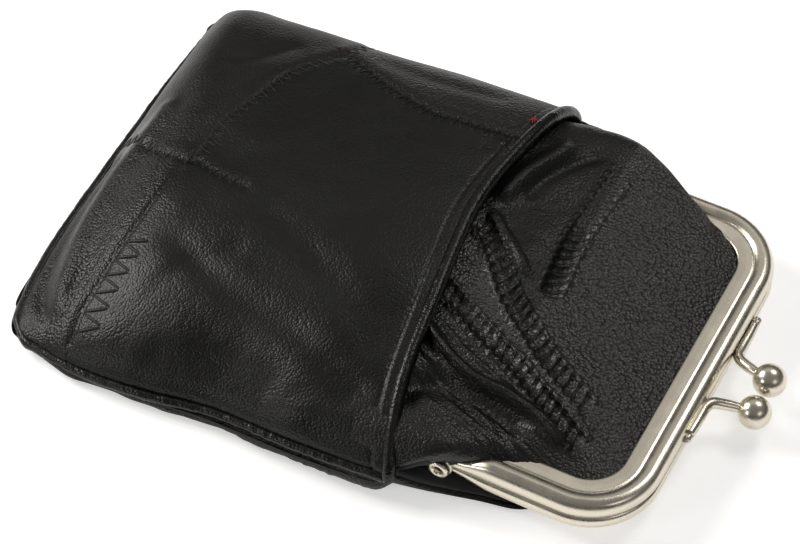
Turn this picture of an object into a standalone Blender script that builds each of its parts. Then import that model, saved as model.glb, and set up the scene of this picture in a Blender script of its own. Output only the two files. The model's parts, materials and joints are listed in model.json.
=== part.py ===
"""Coin purse with a kiss-lock frame, lying on its back with the slip pocket up.

Units are metres, +Z is up and +Y points from the closed end of the bag to the clasp.
Every piece is modelled about the centre of the frame's hinge axis and then placed there.
"""
import math

import bmesh
import bpy
from mathutils import Matrix, Vector

mm = 0.001

# Driving sizes: the frame
frame_width = 87.0 * mm
frame_reach = 41.8 * mm
frame_corner_radius = 16.0 * mm
frame_sheet = 0.65 * mm
bead_width = 3.7 * mm
bead_height = 4.3 * mm
bead_round = 1.96 * mm
flange_width = 4.2 * mm
flange_drop = 0.9 * mm
step_start = 0.3 * mm
step_end = 0.1 * mm
step_sink = 0.4 * mm
leg_set_back = 0.4 * mm
arm_end = 4.0 * mm
half_gap = 0.3 * mm
hinge_height = 7.5 * mm

# Driving sizes: the hinge
lug_radius = 3.0 * mm
lug_thickness = 0.75 * mm
lug_inset = 0.5 * mm
lug_arc_start = 4.8
lug_arc_end = -300.0
lug_neck_length = 2.0 * mm
lug_neck_top = 3.0 * mm
lug_neck_low = 0.4 * mm
rivet_shaft_radius = 1.3 * mm
rivet_bore_radius = 0.8 * mm
rivet_head_radius = 2.3 * mm
rivet_head_thickness = 0.6 * mm
rivet_clearance = 0.3 * mm
bore_overrun = 5.0 * mm

# Driving sizes: the kiss-lock
ball_diameter = 7.3 * mm
ball_reach = 9.6 * mm
ball_pair_offset = -1.9 * mm
ball_pass_clearance = 0.3 * mm
ball_height_step = 2.0 * mm
ball_socket_depth = 1.5 * mm
wire_diameter = 2.1 * mm
wire_height = 1.6 * mm
front_foot_tip = 14.7 * mm
front_foot_bend = 6.8 * mm
back_foot_tip = -16.4 * mm
back_foot_bend = -6.2 * mm
wire_bend_radius = 2.6 * mm
solder_length = 2.4 * mm
solder_width = 1.8 * mm
solder_height = 1.9 * mm

# Driving sizes: the bag
bag_length = 100.0 * mm
bag_half_width = 50.6 * mm
bag_end_half_width = 44.0 * mm
bag_height = 22.0 * mm
rim_height_end = 4.5 * mm
rim_height_hinge = 7.5 * mm
pocket_mouth = -14.0 * mm
pocket_depth = 6.7 * mm
leather = 0.9 * mm
lining = 0.3 * mm
lining_slack = 0.55 * mm
mouth_set_back = 0.7 * mm
piping_radius = 1.3 * mm
welt_radius = 1.2 * mm
welt_spread = 0.94
throat_half_width = 34.6 * mm
throat_start = -13.0 * mm
throat_end = -5.5 * mm
throat_height = 15.0 * mm
front_split = 11.5 * mm
tray_neck_half_width = 39.6 * mm
cord_radius = 0.8 * mm
cord_inset = 3.0 * mm
channel_depth = 2.4 * mm
mouth_crown = 5.7 * mm
mouth_crown_at_bar = 3.4 * mm
mouth_rise = 9.0 * mm
slope_allowance = 0.5

# Fits
gap = 0.3 * mm
seam_gap = 0.3 * mm
leaf_split_gap = 1.0 * mm

# Where the patches are joined, as points (x, y) in millimetres from the hinge's centre
pocket_long_seam = ((0.0, -100.0), (4.0, -82.0))
pocket_near_seam_y = -84.0
pocket_far_seam = ((4.0, -82.0), (-41.0, -68.0), (-50.0, -65.5))
pocket_side_seam = ((-41.0, -68.0), (-34.0, -14.0))
pouch_far_seam = ((-9.6, -14.0), (11.4, 11.5), (21.0, 36.2))
pouch_near_seam = ((11.4, -14.0), (23.2, 11.5), (26.6, 36.2))
pouch_cross_seam_y = 2.5
back_seam_y = -48.0

# Values worked out from the sizes above
floor = -hinge_height
frame_half = frame_width / 2
flange_edge = bead_width + flange_width
leaf_edge = flange_edge - channel_depth
ball_radius = ball_diameter / 2
wire_radius = wire_diameter / 2
ball_y = frame_reach + ball_reach
hinge_y = (bag_length + gap + 2 * piping_radius - ball_y - ball_radius) / 2
ball_spacing = ball_diameter + ball_pass_clearance
front_ball = Vector((ball_pair_offset + ball_spacing / 2, ball_y, -ball_height_step / 2))
back_ball = Vector((ball_pair_offset - ball_spacing / 2, ball_y, ball_height_step / 2))


def clear_scene():
    for item in list(bpy.data.objects):
        bpy.data.objects.remove(item, do_unlink=True)


def make_material(name, colour, roughness, metallic=0.0):
    material = bpy.data.materials.new(name)
    material.use_nodes = True
    shader = material.node_tree.nodes["Principled BSDF"]
    shader.inputs["Base Color"].default_value = (*colour, 1.0)
    shader.inputs["Roughness"].default_value = roughness
    shader.inputs["Metallic"].default_value = metallic
    return material


def place(item, material, pivot=None):
    """Links an object modelled about the hinge centre and puts it in its place."""
    bpy.context.scene.collection.objects.link(item)
    item.data.materials.append(material)
    if pivot is None:
        item.location = (0.0, hinge_y, hinge_height)
    else:
        item.parent = pivot
    return item


def face_outwards(bm):
    bmesh.ops.recalc_face_normals(bm, faces=bm.faces[:])
    if bm.calc_volume(signed=True) < 0.0:
        bmesh.ops.reverse_faces(bm, faces=bm.faces[:])


def finish_mesh(name, bm, material, pivot=None, sharp_angle=40.0):
    face_outwards(bm)
    mesh = bpy.data.meshes.new(name)
    bm.to_mesh(mesh)
    bm.free()
    mesh.shade_smooth()
    mesh.set_sharp_from_angle(angle=math.radians(sharp_angle))
    return place(bpy.data.objects.new(name, mesh), material, pivot)


def tube(name, points, radius, material, pivot=None, sides=2):
    curve = bpy.data.curves.new(name, "CURVE")
    curve.dimensions = "3D"
    curve.bevel_depth = radius
    curve.bevel_resolution = sides
    curve.use_fill_caps = True
    spline = curve.splines.new("POLY")
    spline.points.add(len(points) - 1)
    for spot, point in zip(spline.points, points):
        spot.co = (*point, 1.0)
    return place(bpy.data.objects.new(name, curve), material, pivot)


def between(start, end, share):
    return start + (end - start) * share


def ease(start, end, value):
    share = min(max((value - start) / (end - start), 0.0), 1.0)
    return share * share * (3.0 - 2.0 * share)


# The bag: crowned shells whose rims meet in one seam plane.
# A spot on a shell is (side, station): side runs from -1 at the far rim to 1 at the near rim, and
# station from 1 at the closed end to 0 at the pocket's mouth and -1 at the end of the throat.

closed_reach = bag_length + pocket_mouth
throat_reach = front_split - pocket_mouth


def rim_height(y):
    return floor + between(rim_height_end, rim_height_hinge, (y + bag_length) / bag_length)


def station_of(y):
    if y > pocket_mouth:
        return (pocket_mouth - y) / throat_reach
    return math.asin(min((pocket_mouth - y) / closed_reach, 1.0)) * 2 / math.pi


def y_of(station, inset):
    if station < 0.0:
        return pocket_mouth - station * throat_reach
    return pocket_mouth - (closed_reach - inset) * math.sin(station * math.pi / 2)


def crown(share):
    return math.sqrt(max(0.0, 1.0 - share ** 4))


def end_share(station):
    return math.sin(max(station, 0.0) * math.pi / 2)


def bag_width(station):
    spread = bag_half_width - bag_end_half_width
    return bag_end_half_width + spread * math.sqrt(1.0 - end_share(station) ** 12)


def shell_point(side, station, inset, width, top):
    y = y_of(station, inset)
    rim = rim_height(y)
    across = math.sin(side * math.pi / 2)
    lift = math.copysign(half_gap / 2, top - rim)
    rise = (top - rim) * crown(end_share(station)) * crown(abs(across))
    return Vector((width * across, y, rim + lift + rise))


def pocket_point(side, station, inset):
    return shell_point(side, station, inset, bag_width(station) - inset, floor + bag_height - inset)


def back_point(side, station, inset):
    return shell_point(side, station, inset, bag_width(station) - inset, floor + inset + half_gap / 2)


def front_point(side, station, inset):
    """The front of the coin compartment, under the pocket and on to the throat of the frame."""
    deep = pocket_depth + inset
    if station >= 0.0:
        return pocket_point(side, station, deep)
    y = y_of(station, inset)
    width = between(bag_half_width - deep, throat_half_width - inset, ease(throat_start, throat_end, y))
    top_at_mouth = floor + bag_height - deep
    top = between(top_at_mouth, floor + throat_height - inset, ease(pocket_mouth, front_split, y))
    return shell_point(side, station, inset, width, top)


def spot(x, y, narrowing=0.0):
    """The spot at x, y on a shell that is narrower than the bag by narrowing on each side."""
    station = station_of(y)
    share = x / (bag_width(station) - narrowing)
    return math.asin(min(max(share, -1.0), 1.0)) * 2 / math.pi, station


def throat_spot(x, y):
    width = between(bag_half_width - pocket_depth, throat_half_width, ease(throat_start, throat_end, y))
    return math.asin(min(max(x / width, -1.0), 1.0)) * 2 / math.pi, station_of(y)


def along(line, share):
    """The spot at a share of a line of spots."""
    place_on = share * (len(line) - 1)
    index = min(int(place_on), len(line) - 2)
    part = place_on - index
    start = line[index]
    end = line[index + 1]
    return between(start[0], end[0], part), between(start[1], end[1], part)


def skin(name, outer, inner, columns, rows, material, pivot=None):
    """A closed sheet: a grid is bent to the outer surface, and its extruded copy to the inner one."""
    bm = bmesh.new()
    bmesh.ops.create_grid(bm, x_segments=columns, y_segments=rows, size=0.5)
    first = bm.verts[:]
    shares = [(vert.co.x + 0.5, vert.co.y + 0.5) for vert in first]
    extruded = bmesh.ops.extrude_face_region(bm, geom=bm.faces[:])
    copies = [item for item in extruded["geom"] if isinstance(item, bmesh.types.BMVert)]
    for vert in copies:
        vert.co = inner(vert.co.x + 0.5, vert.co.y + 0.5)
    for vert, (u, v) in zip(first, shares):
        vert.co = outer(u, v)
    return finish_mesh(name, bm, material, pivot)


def patch(name, surface, first, last, depth, thickness, columns, rows, material):
    """A patch of a shell, ruled from one line of spots to another."""
    def point(u, v, inset):
        start = along(first, u)
        end = along(last, u)
        return surface(between(start[0], end[0], v), between(start[1], end[1], v), inset)

    return skin(name, lambda u, v: point(u, v, depth), lambda u, v: point(u, v, depth + thickness),
                columns, rows, material)


# The leaves of the frame's mouth: sheets held in the channel all round and loose in the middle

leaf_half_width = frame_half - leaf_edge
leaf_reach = frame_reach - leaf_edge
leaf_corner = frame_corner_radius - leaf_edge
leaf_low = frame_sheet + gap + half_gap / 2


def leaf_width(y, margin=0.0):
    """Half the width at y of a leaf's outline moved in by margin, with the bar's rounded corners."""
    over = y - (leaf_reach - leaf_corner)
    if over <= 0.0:
        return leaf_half_width - margin
    radius = leaf_corner - margin
    return leaf_half_width - leaf_corner + math.sqrt(max(0.0, radius ** 2 - over ** 2))


def inside_leaf(x, y, half_width):
    """How far a point lies in from the leaf's edge."""
    corner_x = abs(x) - (half_width - leaf_corner)
    corner_y = y - (leaf_reach - leaf_corner)
    if corner_x > 0.0 and corner_y > 0.0:
        return leaf_corner - math.hypot(corner_x, corner_y)
    return min(half_width - abs(x), leaf_reach - y)


def front_leaf_point(x, y, depth):
    crown_here = between(mouth_crown, mouth_crown_at_bar, ease(front_split, frame_reach, y))
    inside = inside_leaf(x, y, leaf_half_width) - slope_allowance * depth
    rise = crown_here * ease(channel_depth, mouth_rise, inside)
    return Vector((x, y, leaf_low + leather - depth + rise))


def tray_width(y, margin=0.0):
    if y > arm_end:
        return leaf_width(y, margin)
    neck = between(bag_half_width, tray_neck_half_width, ease(throat_start, -arm_end, y))
    return between(neck, leaf_half_width, ease(-arm_end, arm_end, y)) - margin


def tray_point(x, y, depth):
    """The back of the coin compartment between the seam plane of the bag and the back half's channel."""
    lowest = hinge_height - leaf_low - leather
    inside = inside_leaf(x, y, tray_width(min(y, leaf_reach - leaf_corner))) - slope_allowance * depth
    drop = lowest * ease(channel_depth, mouth_rise, inside)
    return Vector((x, y, -(leaf_low + leather - depth + drop)))


def seam_x(seam, y):
    """Where a seam given in millimetres crosses y."""
    for (x0, y0), (x1, y1) in zip(seam, seam[1:]):
        if y <= y1 * mm or (x1, y1) == seam[-1]:
            share = (y - y0 * mm) / ((y1 - y0) * mm)
            return between(x0, x1, share) * mm


def leaf_patch(name, point, left, right, start, end, depth, thickness, columns, rows, material, pivot=None):
    """A patch of a leaf between two lines left(y) and right(y), with a finer grid at its sides and the bar."""
    def at(u, v, below):
        y = between(start, end, math.sin(v * math.pi / 2))
        across = (1 - math.cos(u * math.pi)) / 2
        return point(between(left(y), right(y), across), y, below)

    return skin(name, lambda u, v: at(u, v, depth), lambda u, v: at(u, v, depth + thickness),
                columns, rows, material, pivot)


# The frame: each half is a bent channel that opens inwards, with a lug on each arm

def channel_section(up):
    """Points (inset, height) round the channel's section; up is 1 for the front half, -1 for the back."""
    low = half_gap / 2
    middle = (low + bead_height) / 2
    outer_half = bead_height - middle
    steps = 8
    turns = [math.radians(-90 - 180 * step / steps) for step in range(steps + 1)]
    circle = [(math.cos(turn), math.sin(turn)) for turn in turns]
    outer = [(bead_round + bead_round * across, middle + outer_half * rise) for across, rise in circle]
    inner_x = bead_round - frame_sheet
    inner_z = outer_half - frame_sheet
    inner = [(bead_round + inner_x * across, middle + inner_z * rise) for across, rise in circle]
    flange_top = bead_height - flange_drop
    under = flange_top - frame_sheet
    top = [(bead_width - step_start, bead_height - step_sink), (bead_width + step_end, flange_top)]
    top += [(flange_edge, flange_top), (flange_edge, under)]
    top += [(bead_width - step_end, under)]
    top += [(bead_width - step_start - step_sink, bead_height - frame_sheet - step_sink)]
    leg_end = flange_edge - leg_set_back
    legs = [(leg_end, low + frame_sheet), (leg_end, low)]
    return [(inset, up * height) for inset, height in outer + top + inner[::-1] + legs]


def extrude_edges(bm, edges, offset):
    made = bmesh.ops.extrude_edge_only(bm, edges=edges)["geom"]
    verts = [item for item in made if isinstance(item, bmesh.types.BMVert)]
    bmesh.ops.translate(bm, verts=verts, vec=offset)
    return [item for item in made if isinstance(item, bmesh.types.BMEdge) and
            all(vert in verts for vert in item.verts)]


def turn_corner(bm, edges, centre):
    made = bmesh.ops.spin(bm, geom=edges, cent=centre, axis=(0, 0, 1), angle=math.pi / 2, steps=10)
    return [item for item in made["geom_last"] if isinstance(item, bmesh.types.BMEdge)]


def bent_round_frame(bm, points):
    """Carries a closed section of (inset, height) points round the arms, corners and bar."""
    centre_x = frame_half - frame_corner_radius
    centre_y = frame_reach - frame_corner_radius
    verts = [bm.verts.new((frame_half - inset, arm_end, height)) for inset, height in points]
    first = [bm.edges.new(pair) for pair in zip(verts, verts[1:] + verts[:1])]
    edges = extrude_edges(bm, first, (0, centre_y - arm_end, 0))
    edges = turn_corner(bm, edges, (centre_x, centre_y, 0))
    edges = extrude_edges(bm, edges, (-2 * centre_x, 0, 0))
    edges = turn_corner(bm, edges, (-centre_x, centre_y, 0))
    edges = extrude_edges(bm, edges, (0, arm_end - centre_y, 0))
    bmesh.ops.edgeloop_fill(bm, edges=first)
    bmesh.ops.edgeloop_fill(bm, edges=edges)


def lug_outline(up):
    """The lug's outline in (y, height): a disc round the rivet with a neck on to the arm."""
    steps = 20
    arc = [math.radians(between(lug_arc_start, lug_arc_end, step / steps)) for step in range(steps + 1)]
    points = [(lug_radius * math.cos(turn), lug_radius * math.sin(turn)) for turn in arc]
    neck_end = arm_end + lug_neck_length
    points += [(neck_end, lug_neck_top), (neck_end, lug_neck_low)]
    return [(y, up * height) for y, height in points]


def helper(name, bm, pivot):
    """A solid that only shapes another one."""
    face_outwards(bm)
    mesh = bpy.data.meshes.new(name)
    bm.to_mesh(mesh)
    bm.free()
    item = bpy.data.objects.new(name, mesh)
    bpy.context.scene.collection.objects.link(item)
    item.hide_render = True
    item.display_type = "WIRE"
    if pivot is None:
        item.location = (0.0, hinge_y, hinge_height)
    else:
        item.parent = pivot
    return item


def join_with(item, other, operation):
    modifier = item.modifiers.new(other.name, "BOOLEAN")
    modifier.operation = operation
    modifier.object = other
    modifier.solver = "EXACT"


def make_lug(name, up, inner_face, side, pivot):
    bm = bmesh.new()
    verts = [bm.verts.new((side * inner_face, y, height)) for y, height in lug_outline(up)]
    face = bm.faces.new(verts)
    made = bmesh.ops.extrude_face_region(bm, geom=[face])["geom"]
    moved = [item for item in made if isinstance(item, bmesh.types.BMVert)]
    bmesh.ops.translate(bm, verts=moved, vec=(side * lug_thickness, 0, 0))
    return helper(name, bm, pivot)


front_lug_face = frame_half - lug_inset - lug_thickness
back_lug_face = front_lug_face + lug_thickness + gap


def make_frame_half(name, up, lug_face, material, pivot=None):
    bm = bmesh.new()
    bent_round_frame(bm, channel_section(up))
    item = finish_mesh(name, bm, material, pivot)
    for side in (1, -1):
        side_name = "near" if side > 0 else "far"
        join_with(item, make_lug(f"{name}_{side_name}_lug", up, lug_face, side, pivot), "UNION")
    bore = bmesh.new()
    bore_radius = rivet_shaft_radius + rivet_clearance
    bmesh.ops.create_cone(bore, cap_ends=True, segments=24, radius1=bore_radius, radius2=bore_radius,
                          depth=frame_width + 2 * bore_overrun, matrix=Matrix.Rotation(math.pi / 2, 4, "Y"))
    join_with(item, helper(f"{name}_rivet_bore", bore, pivot), "DIFFERENCE")
    return item


def make_rivet(name, side, material):
    inner = front_lug_face - gap
    outer = back_lug_face + lug_thickness + gap
    tail = inner - rivet_head_thickness
    profile = [(tail, rivet_bore_radius), (tail, rivet_head_radius), (inner, rivet_head_radius)]
    profile += [(inner, rivet_shaft_radius), (outer, rivet_shaft_radius), (outer, rivet_head_radius)]
    head = outer + rivet_head_thickness
    profile += [(head, rivet_head_radius), (head, rivet_bore_radius)]
    bm = bmesh.new()
    verts = [bm.verts.new((side * x, radius, 0)) for x, radius in profile]
    edges = [bm.edges.new(pair) for pair in zip(verts, verts[1:] + verts[:1])]
    bmesh.ops.spin(bm, geom=edges, cent=(0, 0, 0), axis=(1, 0, 0), angle=math.tau, steps=24, use_merge=True)
    return finish_mesh(name, bm, material)


def frame_path(inset, height, first_y):
    """Points round the frame at one inset, for a cord laid in the channel."""
    radius = frame_corner_radius - inset
    centre_x = frame_half - frame_corner_radius
    centre_y = frame_reach - frame_corner_radius
    turns = [math.radians(9 * step) for step in range(11)]
    near = [(centre_x + radius * math.cos(turn), centre_y + radius * math.sin(turn)) for turn in turns]
    far = [(-x, y) for x, y in near[::-1]]
    ends = frame_half - inset
    flat = [(ends, first_y)] + near + far + [(-ends, first_y)]
    return [Vector((x, y, height)) for x, y in flat]


# The kiss-lock: a bent wire on each half with a ball on its end

def rounded_route(points, radius, steps=8):
    """Straight runs joined by arcs of one radius."""
    route = [points[0]]
    for before, corner, after in zip(points, points[1:], points[2:]):
        arrive = (before - corner).normalized()
        leave = (after - corner).normalized()
        half_turn = arrive.angle(leave) / 2
        reach = radius / math.tan(half_turn)
        centre = corner + (arrive + leave).normalized() * (radius / math.sin(half_turn))
        start = corner + arrive * reach - centre
        end = corner + leave * reach - centre
        axis = start.cross(end)
        turns = [start.angle(end) * step / steps for step in range(steps + 1)]
        route += [centre + Matrix.Rotation(turn, 3, axis) @ start for turn in turns]
    return route + [points[-1]]


def make_clasp(part_name, tip_x, bend_x, up, ball, nickel, solder, pivot=None):
    rail_y = frame_reach + gap + wire_radius
    tip = Vector((tip_x, rail_y, up * wire_height))
    bend = Vector((bend_x, rail_y, up * wire_height))
    outward = (bend - ball).normalized()
    wire_end = ball + outward * (ball_radius - ball_socket_depth + gap)
    route = rounded_route([tip, bend, wire_end], wire_bend_radius)
    tube(f"{part_name}_clasp_wire", route, wire_radius, nickel, pivot, sides=3)

    turn = outward.to_track_quat("Z", "Y").to_matrix().to_4x4()
    bm = bmesh.new()
    bmesh.ops.create_uvsphere(bm, u_segments=24, v_segments=14, radius=ball_radius,
                              matrix=Matrix.Translation(ball) @ turn)
    body = finish_mesh(f"{part_name}_clasp_ball", bm, nickel, pivot)
    socket = bmesh.new()
    depth = 2 * ball_socket_depth
    middle = ball + outward * ball_radius
    bmesh.ops.create_cone(socket, cap_ends=True, segments=20, radius1=wire_radius + gap,
                          radius2=wire_radius + gap, depth=depth, matrix=Matrix.Translation(middle) @ turn)
    join_with(body, helper(f"{part_name}_ball_socket", socket, pivot), "DIFFERENCE")

    beyond = math.copysign(gap + solder_length / 2, tip_x)
    centre = Vector((tip_x + beyond, frame_reach + gap + solder_width / 2, up * wire_height))
    nub = bmesh.new()
    bmesh.ops.create_uvsphere(nub, u_segments=14, v_segments=8, radius=0.5)
    bmesh.ops.scale(nub, verts=nub.verts[:], vec=(solder_length, solder_width, solder_height))
    bmesh.ops.translate(nub, verts=nub.verts[:], vec=centre)
    finish_mesh(f"{part_name}_wire_solder", nub, solder, pivot)


# The leather

def pocket_spots(points):
    return [spot(x * mm, y * mm) for x, y in points]


def nudge(line, across_by, along_by):
    """A line of spots moved a little, so that two patches keep their seam's gap."""
    return [(side + across_by / bag_half_width, station + along_by / bag_length) for side, station in line]


def make_pocket(black):
    half = seam_gap / 2
    near_rim = 1.0
    far_rim = -1.0
    seam_station = station_of(pocket_near_seam_y * mm)
    long_seam = pocket_spots(pocket_long_seam)
    far_seam = pocket_spots(pocket_far_seam)
    far_seam[-1] = (far_rim, far_seam[-1][1])
    side_seam = pocket_spots(pocket_side_seam)
    closed = 1.0
    mouth = 0.0
    near_line = [(near_rim, seam_station), long_seam[1]]
    end_spot = (long_seam[0][0], closed)
    near_end = [(near_rim, closed)] + nudge([end_spot], half / 2, 0.0)
    far_end = nudge([end_spot], -half, 0.0) + [(far_rim, closed)]
    patch("pocket_patch_near_corner", pocket_point, near_end, nudge(near_line, 0.0, half),
          0.0, leather, 10, 8, black)
    patch("pocket_patch_far_corner", pocket_point, far_end, nudge(far_seam, -half / 2, half),
          0.0, leather, 12, 8, black)
    top_line = [(near_rim, seam_station), long_seam[1], far_seam[1]]
    mouth_line = [(near_rim, mouth), (between(near_rim, side_seam[1][0], 0.6), mouth), side_seam[1]]
    patch("pocket_patch_main", pocket_point, nudge(top_line, half, -half), nudge(mouth_line, half, 0.0),
          0.0, leather, 18, 14, black)
    patch("pocket_patch_far_side", pocket_point,
          nudge(far_seam[1:], -half, -half), nudge([side_seam[1], (far_rim, mouth)], -half, 0.0),
          0.0, leather, 8, 14, black)


def make_pocket_trim(black, cloth):
    under = leather + lining_slack
    mouth = mouth_set_back / bag_length
    patch("pocket_lining", pocket_point, [(1.0, 1.0), (-1.0, 1.0)], [(1.0, mouth), (-1.0, mouth)],
          under, lining, 14, 10, cloth)

    reach = welt_radius + gap
    spots = [between(welt_spread, -welt_spread, step / 32) for step in range(33)]
    rows = [pocket_point(side, 0.0, leather / 2) for side in spots]
    tube("pocket_welt", [row + Vector((0, reach, 0)) for row in rows], welt_radius, black)

    first = 6 * seam_gap / closed_reach
    stations = [between(first, 1.0, math.sin(step / 16 * math.pi / 2)) for step in range(17)]
    near = [Vector((bag_width(station), y_of(station, 0.0))) for station in stations]
    outline = near + [Vector((-point.x, point.y)) for point in near[::-1]]
    offset = gap + piping_radius
    route = []
    for index, point in enumerate(outline):
        before = outline[max(index - 1, 0)]
        after = outline[min(index + 1, len(outline) - 1)]
        run = (after - before).normalized()
        spread = point + Vector((-run.y, run.x)) * offset
        route.append(Vector((spread.x, spread.y, rim_height(point.y))))
    tube("seam_piping", route, piping_radius, black)


def make_pouch_front(black, cloth):
    """The front of the coin compartment as far as the hinge: one panel under the pocket, patches beyond."""
    half = seam_gap / 2
    under_end = mouth_set_back / bag_length
    patch("pouch_front_under_pocket", front_point, [(1.0, 1.0), (-1.0, 1.0)],
          [(1.0, under_end), (-1.0, under_end)], 0.0, leather, 16, 10, black)
    cross = pouch_cross_seam_y * mm
    first = pocket_mouth + half

    def seam_spot(seam, y):
        return throat_spot(seam_x(seam, y), y)

    far_start = seam_spot(pouch_far_seam, first)
    far_cross = seam_spot(pouch_far_seam, cross)
    far_end = seam_spot(pouch_far_seam, front_split)
    near_start = seam_spot(pouch_near_seam, first)
    near_end = seam_spot(pouch_near_seam, front_split)
    cut = half / throat_reach
    patch("pouch_patch_near", front_point, [(1.0, far_start[1])] + nudge([near_start], half, 0.0),
          [(1.0, -1.0)] + nudge([near_end], half, 0.0), 0.0, leather, 8, 8, black)
    patch("pouch_patch_middle", front_point, nudge([near_start], -half, 0.0) + nudge([far_start], half, 0.0),
          nudge([near_end], -half, 0.0) + nudge([far_end], half, 0.0), 0.0, leather, 4, 8, black)
    above = far_cross[1] + cut
    below = far_cross[1] - cut
    cross_side = far_cross[0] - half / bag_half_width
    patch("pouch_patch_far", front_point, nudge([far_start], -half, 0.0) + [(-1.0, far_start[1])],
          [(cross_side, above), (-1.0, above)], 0.0, leather, 9, 6, black)
    patch("pouch_patch_shoulder", front_point, [(cross_side, below), (-1.0, below)],
          nudge([far_end], -half, 0.0) + [(-1.0, -1.0)], 0.0, leather, 9, 4, black)
    patch("coin_lining_front", front_point, [(1.0, 1.0), (-1.0, 1.0)], [(1.0, -1.0), (-1.0, -1.0)],
          leather + lining_slack, lining, 14, 18, cloth)


def make_back(black, cloth):
    seam = station_of(back_seam_y * mm)
    cut = seam_gap / 2 / bag_length
    patch("back_patch_closed_end", back_point, [(1.0, 1.0), (-1.0, 1.0)],
          [(1.0, seam + cut), (-1.0, seam + cut)], 0.0, leather, 16, 8, black)
    patch("back_patch_middle", back_point, [(1.0, seam - cut), (-1.0, seam - cut)], [(1.0, 0.0), (-1.0, 0.0)],
          0.0, leather, 16, 5, black)
    patch("coin_lining_back", back_point, [(1.0, 1.0), (-1.0, 1.0)], [(1.0, 0.0), (-1.0, 0.0)],
          leather + lining_slack, lining, 14, 10, cloth)
    start = pocket_mouth + seam_gap
    leaf_patch("back_patch_mouth", tray_point, tray_width, lambda y: -tray_width(y), start, leaf_reach,
               0.0, leather, 26, 13, black)
    margin = channel_depth + gap
    leaf_patch("mouth_lining_back", tray_point, lambda y: tray_width(y, margin),
               lambda y: -tray_width(y, margin), start, leaf_reach - margin, leather + lining_slack, lining,
               24, 12, cloth)


def make_front_leaf(black, cloth, pivot):
    """The part of the front that is glued into the front half's channel and swings with it."""
    start = front_split + leaf_split_gap
    half = seam_gap / 2

    def far_seam(y):
        return seam_x(pouch_far_seam, y)

    def near_seam(y):
        return seam_x(pouch_near_seam, y)

    pieces = [("mouth_patch_near", leaf_width, lambda y: near_seam(y) + half, 12),
              ("mouth_patch_middle", lambda y: near_seam(y) - half, lambda y: far_seam(y) + half, 3),
              ("mouth_patch_far", lambda y: far_seam(y) - half, lambda y: -leaf_width(y), 18)]
    for name, left, right, columns in pieces:
        leaf_patch(name, front_leaf_point, left, right, start, leaf_reach, 0.0, leather,
                   columns, 11, black, pivot)
    margin = channel_depth + gap
    leaf_patch("mouth_lining_front", front_leaf_point, lambda y: leaf_width(y, margin),
               lambda y: -leaf_width(y, margin), start, leaf_reach - margin, leather + lining_slack, lining,
               28, 12, cloth, pivot)


def main():
    clear_scene()
    pivot = bpy.data.objects.new("front_half_pivot", None)
    bpy.context.scene.collection.objects.link(pivot)
    pivot.location = (0.0, hinge_y, hinge_height)

    nickel = make_material("bright nickel plate", (0.72, 0.69, 0.62), 0.2, 1.0)
    solder = make_material("plated solder", (0.62, 0.59, 0.52), 0.35, 1.0)
    black = make_material("black leather", (0.012, 0.011, 0.010), 0.4)
    cloth = make_material("black lining cloth", (0.02, 0.02, 0.022), 0.8)
    paper = make_material("twisted paper cord", (0.45, 0.36, 0.24), 0.9)

    make_frame_half("back_frame", -1, back_lug_face, nickel)
    make_frame_half("front_frame", 1, front_lug_face, nickel, pivot)
    make_rivet("near_hinge_rivet", 1, nickel)
    make_rivet("far_hinge_rivet", -1, nickel)
    cord_height = frame_sheet + half_gap / 2 + gap + cord_radius
    tube("back_channel_cord", frame_path(cord_inset, -cord_height, arm_end), cord_radius, paper)
    tube("front_channel_cord", frame_path(cord_inset, cord_height, arm_end), cord_radius, paper, pivot)
    make_clasp("back", back_foot_tip, back_foot_bend, -1, back_ball, nickel, solder)
    make_clasp("front", front_foot_tip, front_foot_bend, 1, front_ball, nickel, solder, pivot)
    make_pocket(black)
    make_pocket_trim(black, cloth)
    make_pouch_front(black, cloth)
    make_back(black, cloth)
    make_front_leaf(black, cloth, pivot)


main()
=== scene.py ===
import json
import math

import bmesh
import bpy
import numpy as np
from mathutils import Matrix, Vector
from mathutils.bvhtree import BVHTree


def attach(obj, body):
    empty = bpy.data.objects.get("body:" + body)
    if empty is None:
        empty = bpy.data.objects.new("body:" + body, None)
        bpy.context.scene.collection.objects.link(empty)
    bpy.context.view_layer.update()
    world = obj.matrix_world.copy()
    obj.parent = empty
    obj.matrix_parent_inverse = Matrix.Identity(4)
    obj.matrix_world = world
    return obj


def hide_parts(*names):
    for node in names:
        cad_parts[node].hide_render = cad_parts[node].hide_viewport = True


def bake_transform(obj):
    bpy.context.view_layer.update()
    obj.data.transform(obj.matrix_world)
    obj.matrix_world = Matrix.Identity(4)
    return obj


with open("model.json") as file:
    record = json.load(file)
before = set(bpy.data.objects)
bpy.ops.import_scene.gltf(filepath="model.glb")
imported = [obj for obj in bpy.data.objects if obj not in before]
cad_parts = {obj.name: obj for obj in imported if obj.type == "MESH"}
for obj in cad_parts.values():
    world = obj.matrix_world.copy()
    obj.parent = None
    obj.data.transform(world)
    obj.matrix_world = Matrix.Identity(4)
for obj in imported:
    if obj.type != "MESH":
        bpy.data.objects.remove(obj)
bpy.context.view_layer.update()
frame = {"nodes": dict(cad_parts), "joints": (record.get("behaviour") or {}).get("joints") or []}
hinge = Vector(frame["joints"][0]["pos_m"])
mm = 0.001  # every size below is in millimetres, from the hinge line and the floor


def toWorld(points):
    return np.asarray(points, float) * mm + np.array((0.0, hinge.y, 0.0))


def at(x, y, z):
    return Vector(toWorld((x, y, z)))


def ease(low, high, value):
    t = np.clip((np.asarray(value, float) - low) / (high - low), 0.0, 1.0)
    return t * t * (3.0 - 2.0 * t)


def runAlong(points):
    # the length along a line to each of its points
    return np.concatenate(([0.0], np.cumsum(np.linalg.norm(np.diff(points, axis=0), axis=1))))


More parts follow.
